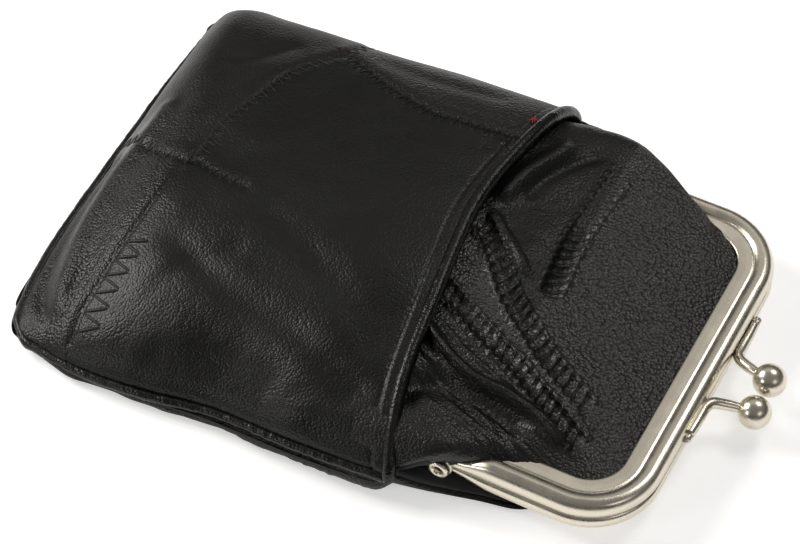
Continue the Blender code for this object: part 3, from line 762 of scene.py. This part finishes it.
foldDeep = (
    (19.0, -17.0), (20.8, -14.4), (24.8, -7.4), (26.8, -1.0),
    (26.8, 5.0), (27.6, 11.0), (29.2, 17.0), (31.0, 22.0),
)
folds = (  # line, how wide, how deep; negative stands proud
    (foldDeep, 1.25, 2.6),
    (((38.0, -14.0), (31.5, -9.0), (30.6, 0.0), (31.2, 8.0), (32.6, 15.0)), 3.0, -1.9),
    (((17.5, -13.8), (22.0, -4.6), (24.6, 4.0), (25.6, 10.0)), 0.8, 0.5),
    (((18.8, -14.6), (23.2, -5.6), (26.2, 3.4)), 0.6, 0.4),
    (((21.1, 12.4), (22.6, 18.3), (25.2, 23.7), (28.3, 27.5)), 0.9, 0.6),
    (((27.0, 9.0), (29.0, 17.0), (31.0, 24.0)), 0.9, 0.5),
    (((-14.5, -17.5), (-13.9, -16.7), (-8.1, -9.8), (-2.5, -3.6), (-1.2, -1.0)), 1.1, 0.8),
    (((-16.6, -16.6), (-24.9, -15.0), (-32.5, -12.0), (-41.0, -9.0)), 2.0, 1.5),
    (((-20.0, -12.0), (-28.0, -10.5), (-36.0, -6.0), (-42.0, -1.0)), 1.6, -0.8),
    (((-36.0, 30.0), (-38.5, 24.0), (-42.0, 18.0)), 1.4, 0.7),
)


def foldRelief(co):
    x, y = co[:, 0], co[:, 1]
    d = np.zeros(len(x))
    for path, width, depth in folds:
        smooth = spline(path, 22)
        away, run = pathField(smooth, x, y)
        total = pathLength(smooth)
        ends = ease(0, 4, run + 0.8) * ease(0, 5, total - run)
        d -= ends * depth * np.exp(-((away / width) ** 2))
    d -= 1.3 * np.exp(-(((x + 7.5) / 7.5) ** 2) - (((y + 5.0) / 5.0) ** 2))  # a hollow
    return d


def gathers(co):
    # fine pleats that run from the pocket to the near corner of the frame
    x, y = co[:, 0], co[:, 1]
    along = (x - 20.0) * 0.30 + (y + 14.0) * 0.95
    across = (x - 20.0) * 0.95 - (y + 14.0) * 0.30
    near = np.exp(-(((across - 6.0 - 0.06 * along) / 6.0) ** 2))
    near = near * ease(-4, 6, along) * (1 - ease(34, 48, along))
    broad = 0.22 * near * softNoise(across * 1.15, along * 0.10, 71)
    return broad + 0.12 * near * softNoise(across * 2.4, along * 0.2, 72)


def pouchRelief(co):
    x, y = co[:, 0], co[:, 1]
    rough = ease(-30, -12, x) * (1 - ease(26, 34, x))
    return 0.40 * layers(x / 15, y / 17, 21, 2) + (0.035 + 0.045 * rough) * layers(x / 2.2, y / 2.8, 23, 2)


def pouchPatch(x, y):
    # 0 middle, 1 far side of ladder A, 2 near side of ladder B
    far = beyond(ladderA, x, y, (-30, -8)) & (y < 2.8)
    near = beyond(ladderB, x, y, (35, 0))
    return far * 1 + near * 2


pouchSteps = (pouchRelief, foldRelief, gathers, ladderRelief)
pouchMesh = gridPiece("pouchFront", *pouch["cells"], pouchPlace, relief=pouchSteps, flip=True)
pouchTree = treeOf(pouchMesh)
pouchObject = addObject("pouchFront", pouchMesh, leather["pouch"])
paintPatches(pouchMesh, ("pouch", "pouchSmooth", "pouchNear"), pouchPatch)
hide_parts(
    "pouch_front_under_pocket",
    "pouch_patch_near",
    "pouch_patch_middle",
    "pouch_patch_far",
    "pouch_patch_shoulder",
    "mouth_patch_near",
    "mouth_patch_middle",
    "mouth_patch_far",
)
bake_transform(pouchObject)
print("pouch front", len(pouchMesh.polygons))

back = {  # the back leather from the frame down to the body
    "slotInset": 6.4,
    "slotHeight": 5.8,
    "knots": (0.0, 0.07, 0.165, 0.288, 0.5, 0.712, 0.835, 0.93, 1.0),
    "columns": (0.0, 0.12, 0.42, 0.7, 1.0),
    "net": (
        ((42.0, -2.0, 5.4), (46.5, -6.0, 5.0), (49.3, -10.0, 5.4), (50.6, -15.0, 6.2)),
        ((36.6, 13.0, 2.5), (43.0, 11.0, 1.7), (46.3, 1.5, 1.8), (50.0, -15.0, 2.2)),
        ((35.8, 24.0, 2.6), (40.8, 18.5, 1.2), (40.0, 4.0, 0.6), (45.0, -15.0, 0.6)),
        ((27.0, 34.0, 2.6), (26.0, 22.0, 0.9), (26.0, 5.0, 0.4), (29.0, -15.0, 0.4)),
        ((0.0, 34.0, 2.8), (0.0, 22.0, 1.2), (0.0, 5.0, 0.4), (0.0, -15.0, 0.3)),
        ((-27.0, 34.0, 2.6), (-26.0, 22.0, 0.9), (-26.0, 5.0, 0.4), (-29.0, -15.0, 0.4)),
        ((-35.8, 24.0, 2.6), (-40.5, 18.0, 1.4), (-40.0, 4.0, 0.6), (-45.0, -15.0, 0.6)),
        ((-37.0, 13.0, 2.5), (-43.5, 12.0, 2.2), (-47.3, 3.0, 2.4), (-51.0, -15.0, 3.0)),
        ((-42.0, -2.0, 5.4), (-46.5, -6.0, 5.6), (-50.3, -10.0, 6.4), (-52.6, -15.0, 6.6)),
    ),
    "cells": (240, 110),
}


def backThroat(u, v):
    rows = withSlot(back["net"], back["slotInset"], back["slotHeight"], back["knots"])
    return netSurface(rows, back["knots"], back["columns"], u, v)


gusset = {  # (y, how far the back leather swells out past the edge piping)
    "near": (
        (-105, 0.0), (-99, 0.2), (-92, 1.5), (-84, 2.2), (-65, 1.8),
        (-47, 2.8), (-30, 2.6), (-18, 2.4), (-9, 2.0),
    ),
    "far": ((-105, 0.0), (-98, 0.2), (-80, 1.4), (-40, 1.6), (-9, 1.4)),
    "mouth": -7.5,
    "flat": 45.0,  # half width of the flat underside
    "flatShare": 0.55,  # share of each row that lies in it
    "curveShare": 0.45,  # and the share that curves up to the piping
    "under": 0.3,  # its height over the floor
    "cells": (220, 200),
}


def bezier(t, a, b, c, d):
    return (1 - t) ** 3 * a + 3 * (1 - t) ** 2 * t * b + 3 * (1 - t) * t**2 * c + t**3 * d


def backBody(u, v):
    side = 2 * u - 1
    endY = table(pocket["end"], 51.5 * np.sin(math.pi / 2 * side)) - 0.3
    y = endY + (gusset["mouth"] - endY) * v**1.2
    near, far = pocketWidths(y)
    mix = ease(-0.2, 0.2, side)
    ridge = near * mix - far * (1 - mix)
    swell = table(gusset["near"], y) * mix + table(gusset["far"], y) * (1 - mix)
    top = edgeHeight(y, mix) - 0.5
    tuck = ease(-12.5, gusset["mouth"], y) ** 2
    swell *= 1 - tuck
    ridge -= 3.0 * tuck
    flat, under, share = gusset["flat"], gusset["under"], gusset["flatShare"]
    t = np.clip((np.abs(side) - share) / gusset["curveShare"], 0, 1)
    flatX = flat * np.sin(math.pi / 2 * np.clip(np.abs(side) / share, 0, 1))
    curveX = bezier(t, flat, ridge + swell * 1.1, ridge + swell * 1.3, ridge)
    curveZ = bezier(t, under, under, top * 0.55, top)
    x = np.where(t > 0, curveX, flatX) * np.sign(side)
    rim = (1 - np.clip((y - endY) / 7, 0, 1)) ** 2.5
    z = np.where(t > 0, curveZ, under)
    return np.stack((x, y, z + (top - z) * rim), 1)


def backRelief(co):
    x, y, z = co[:, 0], co[:, 1], co[:, 2]
    side = ease(0.5, 2.0, z)
    swells = 0.35 * layers(y / 9, z / 6, 43, 2)
    gathered = 0.12 * softNoise(y / 1.1, z / 3, 44) * ease(-60, -35, y)
    return 0.12 * layers(x / 12, y / 12, 41, 2) - 0.05 + side * (swells + gathered)


backBodyMesh = gridPiece("backLeather", *gusset["cells"], backBody, relief=(backRelief,), flip=True)
backBodyObject = addObject("backLeather", backBodyMesh, leather["farSide"])
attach(backBodyObject, "bag")
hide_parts("back_patch_closed_end", "back_patch_middle")
backThroatMesh = gridPiece("backThroat", *back["cells"], backThroat)
backThroatObject = addObject("backThroat", backThroatMesh, leather["farSide"])
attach(backThroatObject, "bag")
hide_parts("back_patch_mouth")
print("back leather")

lining = {  # distances under the leather, except inward, a scale in plan
    "gap": 1.7,
    "cells": (120, 90),
    "pocket": 2.6,
    "underFront": 0.75,
    "underBack": 1.3,
    "underPocket": 1.6,
    "inward": 0.985,
}


def keepUnder(p, tree, gap):
    # lowers the points that come too near the leather over them
    for i, (x, y, z) in enumerate(p):
        above = onTop(tree, x, y, 0.0)
        if above is not None:
            p[i, 2] = min(z, above[2] - gap)
    return p


def liningFront(u, v):
    p = pouchPlace(u, v)
    p[:, :2] *= lining["inward"]
    p[:, 2] += 0.9 * foldRelief(p) * ease(0.05, 0.3, v)
    p[:, 2] -= lining["gap"] * ease(0, 0.15, v) + 0.35
    return keepUnder(p, pouchTree, lining["underFront"])


def liningBack(u, v):
    p = backThroat(u, v)
    p[:, :2] *= lining["inward"]
    p[:, 2] += 0.9 * ease(0, 0.15, v) + 0.35
    return keepUnder(p, pouchTree, lining["underBack"])


def liningPocket(u, v):
    p = pocketPlace(0.06 + 0.88 * u, 0.05 + 0.93 * v, lining["pocket"])
    return keepUnder(p, pocketTree, lining["underPocket"])


def liningBody(u, v):
    p = backBody(0.06 + 0.88 * u, 0.05 + 0.95 * v)
    p[:, 2] += 0.9
    return p


for name, place, flat, nodes, blended in (
    ("mouthLiningFront", liningFront, (0.115, 0.062), ("mouth_lining_front", "coin_lining_front"), True),
    ("mouthLiningBack", liningBack, (0.115, 0.055), ("mouth_lining_back",), False),
    ("coinLining", liningBody, (0.10, 0.085), ("coin_lining_back",), False),
    ("pocketLining", liningPocket, (0.11, 0.085), ("pocket_lining",), False),
):
    made = addObject(name, gridPiece(name, *lining["cells"], place), liningCloth)
    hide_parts(*nodes)
    if blended:
        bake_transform(made)
    else:
        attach(made, "bag")
print("linings")


def threadMesh(tree, line, zig, pitch, radius, seed):
    # zigzag stitches over a seam: straight strokes from side to side, sunk at each needle hole
    line = spline(line, 400)
    run = runAlong(line)
    meshes = []
    count = int(run[-1] / pitch)
    corners = []
    for k in range(2 * count + 1):
        t = np.clip(k * pitch / 2, 0, run[-1])
        p = pointAt(t, run, line)
        q = pointAt(t + 0.3, run, line)
        direction = (q - p) / max(np.linalg.norm(q - p), 1e-6)
        across = np.array((-direction[1], direction[0]))
        shake = (hashed(float(k), 3.0, seed) - 0.5) * 0.3
        sign = 1 if k % 2 else -1
        corners.append(p + across * sign * zig / 2 + direction * shake)
    for a, b in zip(corners[:-1], corners[1:]):
        stroke = []
        for f in np.linspace(0, 1, 7):
            q = a + (b - a) * f
            point = onTop(tree, q[0], q[1], 0.05 - 0.45 * radius * (abs(2 * f - 1) ** 4) * 4)
            if point is not None:
                stroke.append(point)
        if len(stroke) == 7:
            meshes.append(tubeMesh("stroke", stroke, radius, around=5))
    return meshes


zigzags = (  # line, width, stitch spacing, thread radius, shift off the join, share of the line
    (seamMain, 6.0, 4.2, 0.36, 3.0, 0.60),  # the large stitches stop part of the way along
    (seamEnd, 3.2, 2.6, 0.12, 0.6, 1.0),
    (seamFar, 3.4, 2.6, 0.11, 0.6, 1.0),
    (seamSide, 3.4, 2.4, 0.11, -0.6, 1.0),
)
strokes = []
for k, (path, zig, pitch, radius, shift, share) in enumerate(zigzags):
    line = spline(path, 80)[: int(80 * share)]
    slope = np.gradient(line, axis=0)
    slope /= np.linalg.norm(slope, axis=1)[:, None]
    side = -1 if line[0, 0] > line[-1, 0] else 1
    line = line + side * shift * np.stack((-slope[:, 1], slope[:, 0]), 1)
    strokes += threadMesh(pocketTree, line, zig, pitch, radius, k + 2)
pocketThread = addObject("pocketThread", joinMeshes("pocketThread", strokes), threadBlack)
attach(pocketThread, "bag")

tufts = {  # loose ends of red thread by the pocket's mouth
    "spots": ((-39.6, -19.7), (-43.3, -18.2)),
    "count": 5,
    "length": 1.9,
    "radius": 0.15,
    "lift": 0.16,
}
strands = []
for j, (x0, y0) in enumerate(tufts["spots"]):
    for k in range(tufts["count"]):
        turn = 2.6 * hashed(float(k), float(j), 77)
        shift = 1.1 * (hashed(float(k), float(j), 78) - 0.5)
        strand = []
        for t in np.linspace(-0.5, 0.5, 7):
            reach = tufts["length"] * t
            x, y = x0 + shift + reach * math.cos(turn), y0 - shift * 0.4 + reach * math.sin(turn)
            strand.append(onTop(pocketTree, x, y, tufts["lift"] + 0.3 * (0.25 - t * t)))
        if all(point is not None for point in strand):
            strands.append(tubeMesh("strand", strand, tufts["radius"], around=6))
looseThreads = addObject("looseThreads", joinMeshes("looseThreads", strands), threadRed)
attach(looseThreads, "bag")


def rungMeshes(tree, path, half, pitch, fade, number):
    # a stitch in each valley between two puffs, looped over at both ends
    line = spline(path, 400)
    run = runAlong(line)
    slope = np.gradient(line, axis=0)
    slope /= np.linalg.norm(slope, axis=1)[:, None]
    made = []
    for k in range(1, int(min(run[-1], fade * 1.1) / pitch)):
        stroke = []
        for away in np.linspace(-half * ladderBand, half * ladderBand, 9):
            t = k * pitch - ladderSlant * away - float(ladderWander(np.array(k * pitch), number))
            q = pointAt(t, run, line)
            n = pointAt(t, run, slope)
            q = q + away * np.array((-n[1], n[0]))
            point = onTop(tree, q[0], q[1], 0.05 - 0.25 * (abs(away) / half > 0.95))
            if point is not None:
                stroke.append(point)
        if len(stroke) == 9:
            made.append(tubeMesh("rung", stroke, 0.13, around=5))
    return made


strokes = []
for number, (path, half, pitch, height, fade) in enumerate(ladders):
    strokes += rungMeshes(pouchTree, path, half, pitch, fade, number)
pouchThread = addObject("pouchThread", joinMeshes("pouchThread", strokes), threadBlack)
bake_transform(pouchThread)
print("threads")

section = {  # the metal of one frame half: (inset from the outer edge, height over the middle)
    "outside": (  # the bead, from the parting line over the top to the step
        (1.5, 0.15), (0.75, 0.28), (0.22, 0.85), (0.0, 1.8), (0.25, 2.9),
        (0.95, 3.85), (2.0, 4.28), (2.9, 4.2), (3.6, 3.95), (4.1, 3.62),
    ),
    "inside": (  # over the flange, then back along the inner faces
        (4.2, 3.42), (4.35, 3.42), (4.5, 3.56), (6.0, 3.52), (7.4, 3.42), (7.78, 3.3),
        (7.84, 3.1), (7.7, 2.9), (7.2, 2.86), (4.6, 2.9), (3.4, 3.4), (2.1, 3.7),
        (1.05, 3.3), (0.7, 2.1), (0.9, 1.2), (1.7, 0.85), (7.2, 0.85), (7.2, 0.15),
    ),
    "around": 150,
    "along": 300,
    "pinch": (1.6, 11.0),  # y over which each arm swells from its end
    "endScale": 0.42,  # size of the section at the arm's end
    "middle": 7.5,  # height of the parting line
}


def frameHalf(name, direction):
    # the section swept round the U, smaller towards the arms' ends
    loop = np.vstack((spline(section["outside"], 60), section["inside"]))
    loop = evenly(np.vstack((loop, loop[:1])), section["around"] + 1)
    count = section["along"]
    outer = framePath(0.0, count + 1, start=1.2)
    tangent = np.gradient(outer, axis=0)
    tangent /= np.linalg.norm(tangent, axis=1)[:, None]
    inward = np.stack((-tangent[:, 1], tangent[:, 0]), 1)

    def place(u, v):
        i = np.rint(u * section["around"]).astype(int)
        k = np.rint(v * count).astype(int)
        low, high = section["pinch"]
        arm = np.where(np.abs(outer[k, 0]) > 20, ease(low, high, outer[k, 1]), 1.0)
        size = section["endScale"] + (1 - section["endScale"]) * arm
        inset = 0.4 + (loop[i, 0] - 0.4) * (0.35 + 0.65 * arm)
        x = outer[k, 0] + inward[k, 0] * inset
        y = outer[k, 1] + inward[k, 1] * inset
        return np.stack((x, y, section["middle"] + direction * (loop[i, 1] * size)), 1)

    return gridPiece(name, section["around"], count, place, wrap=True, caps=True)


frontFrame = addObject("frameFront", frameHalf("frameFront", 1), nickel)
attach(frontFrame, "front_half")
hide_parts("front_frame")
backFrame = addObject("frameBack", frameHalf("frameBack", -1), nickel)
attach(backFrame, "bag")
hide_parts("back_frame")


def turned(name, profile, x, sign):
    # a profile of (distance along the hinge axis, radius) turned round it, in millimetres
    bm = bmesh.new()
    verts = [bm.verts.new(Vector((a, r, 0))) for a, r in profile]
    edges = [bm.edges.new((a, b)) for a, b in zip(verts[:-1], verts[1:])]
    axis = (1, 0, 0)
    bmesh.ops.spin(bm, geom=verts + edges, axis=axis, angle=math.tau, steps=48, use_merge=True)
    bmesh.ops.remove_doubles(bm, verts=bm.verts, dist=1e-5)
    bmesh.ops.recalc_face_normals(bm, faces=bm.faces)
    turn = Vector(axis).rotation_difference(Vector((sign, 0, 0))).to_matrix().to_4x4()
    place = Matrix.Translation(at(sign * x, 0, section["middle"])) @ Matrix.Scale(mm, 4)
    bmesh.ops.transform(bm, matrix=place @ turn, verts=bm.verts)
    return addObject(name, meshFrom(bm, name), nickel)


rivet = {  # a hollow rivet, its inner head first
    "profile": (
        (-2.2, 0.85), (-2.2, 1.9), (-2.0, 2.15), (-1.75, 2.2), (-1.6, 1.9), (-1.5, 1.3),
        (1.0, 1.3), (1.1, 1.75), (1.25, 2.15), (1.5, 2.3), (1.8, 2.2), (1.98, 1.85),
        (2.0, 1.45), (1.85, 1.15), (1.5, 0.95), (0.9, 0.85), (-2.2, 0.85),
    ),
    "x": 43.3,
}
lug = {  # the arms' flat ends, one behind the other on the rivet
    "profile": ((-0.4, 1.35), (-0.4, 2.5), (-0.3, 2.65), (0.3, 2.65), (0.4, 2.5), (0.4, 1.35), (-0.4, 1.35)),
    "backX": 43.55,
    "frontX": 42.6,
}
for sideName, sign in (("near", 1), ("far", -1)):
    made = turned(sideName + "Rivet", rivet["profile"], rivet["x"], sign)
    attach(made, "bag")
    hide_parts(sideName + "_hinge_rivet")
    made = turned(sideName + "LugBack", lug["profile"], lug["backX"], sign)
    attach(made, "bag")
    made = turned(sideName + "LugFront", lug["profile"], lug["frontX"], sign)
    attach(made, "front_half")
print("frame and hinges")

clasp = {  # two balls that snap past each other, each on a bent wire
    "radius": 1.12,
    "front": (
        (14.5, 42.2, 9.3), (12.0, 42.3, 9.3), (9.0, 42.3, 9.2), (6.4, 42.4, 9.0),
        (4.7, 43.3, 8.7), (3.5, 45.2, 8.0), (2.6, 47.2, 7.4), (1.9, 49.4, 6.9),
    ),
    "back": (
        (-19.3, 42.4, 6.9), (-16.0, 42.5, 7.0), (-12.8, 42.5, 7.1), (-10.3, 42.7, 7.3),
        (-8.8, 43.8, 7.6), (-7.8, 45.6, 8.0), (-7.1, 47.4, 8.3), (-6.5, 49.4, 8.5),
    ),
    "frontBall": (1.4, 51.3, 6.5),
    "backBall": (-6.15, 51.3, 8.5),
    "ball": 3.6,
}
for half, body, ballNode, wireNode in (
    ("front", "front_half", "front_clasp_ball", "front_clasp_wire"),
    ("back", "bag", "back_clasp_ball", "back_clasp_wire"),
):
    path = spline(clasp[half], 72)
    along = np.linspace(0, 1, 72)
    size = clasp["radius"] * (1.0 + 0.12 * np.sin(math.pi * along)) * (1 - 0.12 * ease(0.8, 1, along))
    wire = addObject(half + "Wire", tubeMesh(half + "Wire", path, size, around=20), nickel)
    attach(wire, body)
    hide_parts(wireNode)
    bm = bmesh.new()
    bmesh.ops.create_uvsphere(bm, u_segments=56, v_segments=36, radius=clasp["ball"] * mm)
    bmesh.ops.translate(bm, verts=bm.verts, vec=at(*clasp[half + "Ball"]))
    ball = addObject(half + "Ball", meshFrom(bm, half + "Ball"), nickel)
    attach(ball, body)
    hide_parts(ballNode)

solder = {  # the lump that holds each wire to the frame
    "front": (15.1, 42.2, 9.0),
    "back": (-20.3, 42.4, 6.6),
    "size": (1.5, 0.95, 0.85),
    "rough": 0.16,
}
for half, body in (("front", "front_half"), ("back", "bag")):
    bm = bmesh.new()
    bmesh.ops.create_icosphere(bm, subdivisions=5, radius=mm)
    bmesh.ops.scale(bm, verts=bm.verts, vec=solder["size"])
    shape = np.array([tuple(vert.co) for vert in bm.verts]) / mm
    lumps = 1 + solder["rough"] * layers(shape[:, 0] / 0.8 + 3, shape[:, 1] / 0.8 + shape[:, 2] / 0.7, 91, 3)
    for vert, lump in zip(bm.verts, lumps):
        vert.co *= lump
    bmesh.ops.translate(bm, verts=bm.verts, vec=at(*solder[half]))
    made = addObject(half + "Solder", meshFrom(bm, half + "Solder"), nickelDull)
    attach(made, body)
    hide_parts(half + "_wire_solder")
print("clasp")

floorMaterial, tree, shader = newMaterial("paper")
shader.inputs["Base Color"].default_value = (0.93, 0.93, 0.93, 1)
shader.inputs["Roughness"].default_value = 0.9
shader.inputs["Emission Color"].default_value = (1, 1, 1, 1)
shader.inputs["Emission Strength"].default_value = 0.50
shader.inputs["Specular IOR Level"].default_value = 0.1
bm = bmesh.new()
bmesh.ops.create_grid(bm, x_segments=1, y_segments=1, size=3.0)
floorObject = addObject("floor", meshFrom(bm, "floor"), floorMaterial, smooth=False)

studio = {
    "target": (3.56, -29.98, 8.67),
    "viewBack": (0.5544, 0.2861, 0.7815),  # from the target towards the camera
    "distance": 0.64,
    "lens": 135,
    "lights": (  # name, place from the target in metres, size, watts, colour
        ("top", (-0.44, 0.20, 0.72), (0.30, 0.26), 1.5, (1.0, 0.985, 0.96)),
        ("front", (0.04, -0.68, 0.52), (0.40, 0.30), 4.4, (1.0, 0.98, 0.955)),
        ("near", (0.62, -0.42, 0.34), (0.16, 0.16), 0.7, (1.0, 0.98, 0.96)),
        ("left", (-0.50, -0.30, 0.70), (0.60, 0.60), 0.36, (1.0, 0.98, 0.95)),
        ("right", (0.24, 0.60, 0.44), (0.30, 0.18), 0.25, (1.0, 0.985, 0.965)),
    ),
}
target = at(*studio["target"])
for name, place, size, power, color in studio["lights"]:
    data = bpy.data.lights.new(name, "AREA")
    data.shape = "RECTANGLE"
    data.size, data.size_y = size
    data.energy = power
    data.color = color
    lamp = bpy.data.objects.new(name, data)
    bpy.context.scene.collection.objects.link(lamp)
    lamp.location = target + Vector(place)
    lamp.rotation_euler = (-Vector(place)).to_track_quat("-Z", "Y").to_euler()

world = bpy.data.worlds.new("studio")
bpy.context.scene.world = world
world.use_nodes = True
tree = world.node_tree
background = tree.nodes["Background"]
coordinates = node(tree, "ShaderNodeTexCoord")
split = node(tree, "ShaderNodeSeparateXYZ")
ramp = node(tree, "ShaderNodeValToRGB")
ramp.color_ramp.elements[0].position = 0.0
ramp.color_ramp.elements[0].color = (0.05, 0.05, 0.05, 1)
ramp.color_ramp.elements[1].position = 1.0
ramp.color_ramp.elements[1].color = (0.30, 0.295, 0.285, 1)
for position, level in ((0.22, 0.08), (0.6, 0.22)):
    ramp.color_ramp.elements.new(position).color = (level, level * 0.99, level * 0.96, 1)
link(tree, coordinates.outputs["Generated"], split.inputs["Vector"])
link(tree, split.outputs["Z"], ramp.inputs["Fac"])
link(tree, ramp.outputs["Color"], background.inputs["Color"])
background.inputs["Strength"].default_value = 0.75
bpy.context.scene.view_settings.view_transform = "Standard"

cameraData = bpy.data.cameras.new("camera")
cameraData.lens = studio["lens"]
cameraData.sensor_width = 36
camera = bpy.data.objects.new("camera", cameraData)
bpy.context.scene.collection.objects.link(camera)
viewBack = Vector(studio["viewBack"]).normalized()
camera.location = target + viewBack * studio["distance"]
camera.rotation_euler = viewBack.to_track_quat("Z", "Y").to_euler()
cameraData.clip_start = 0.01
bpy.context.scene.camera = camera

print("stage")
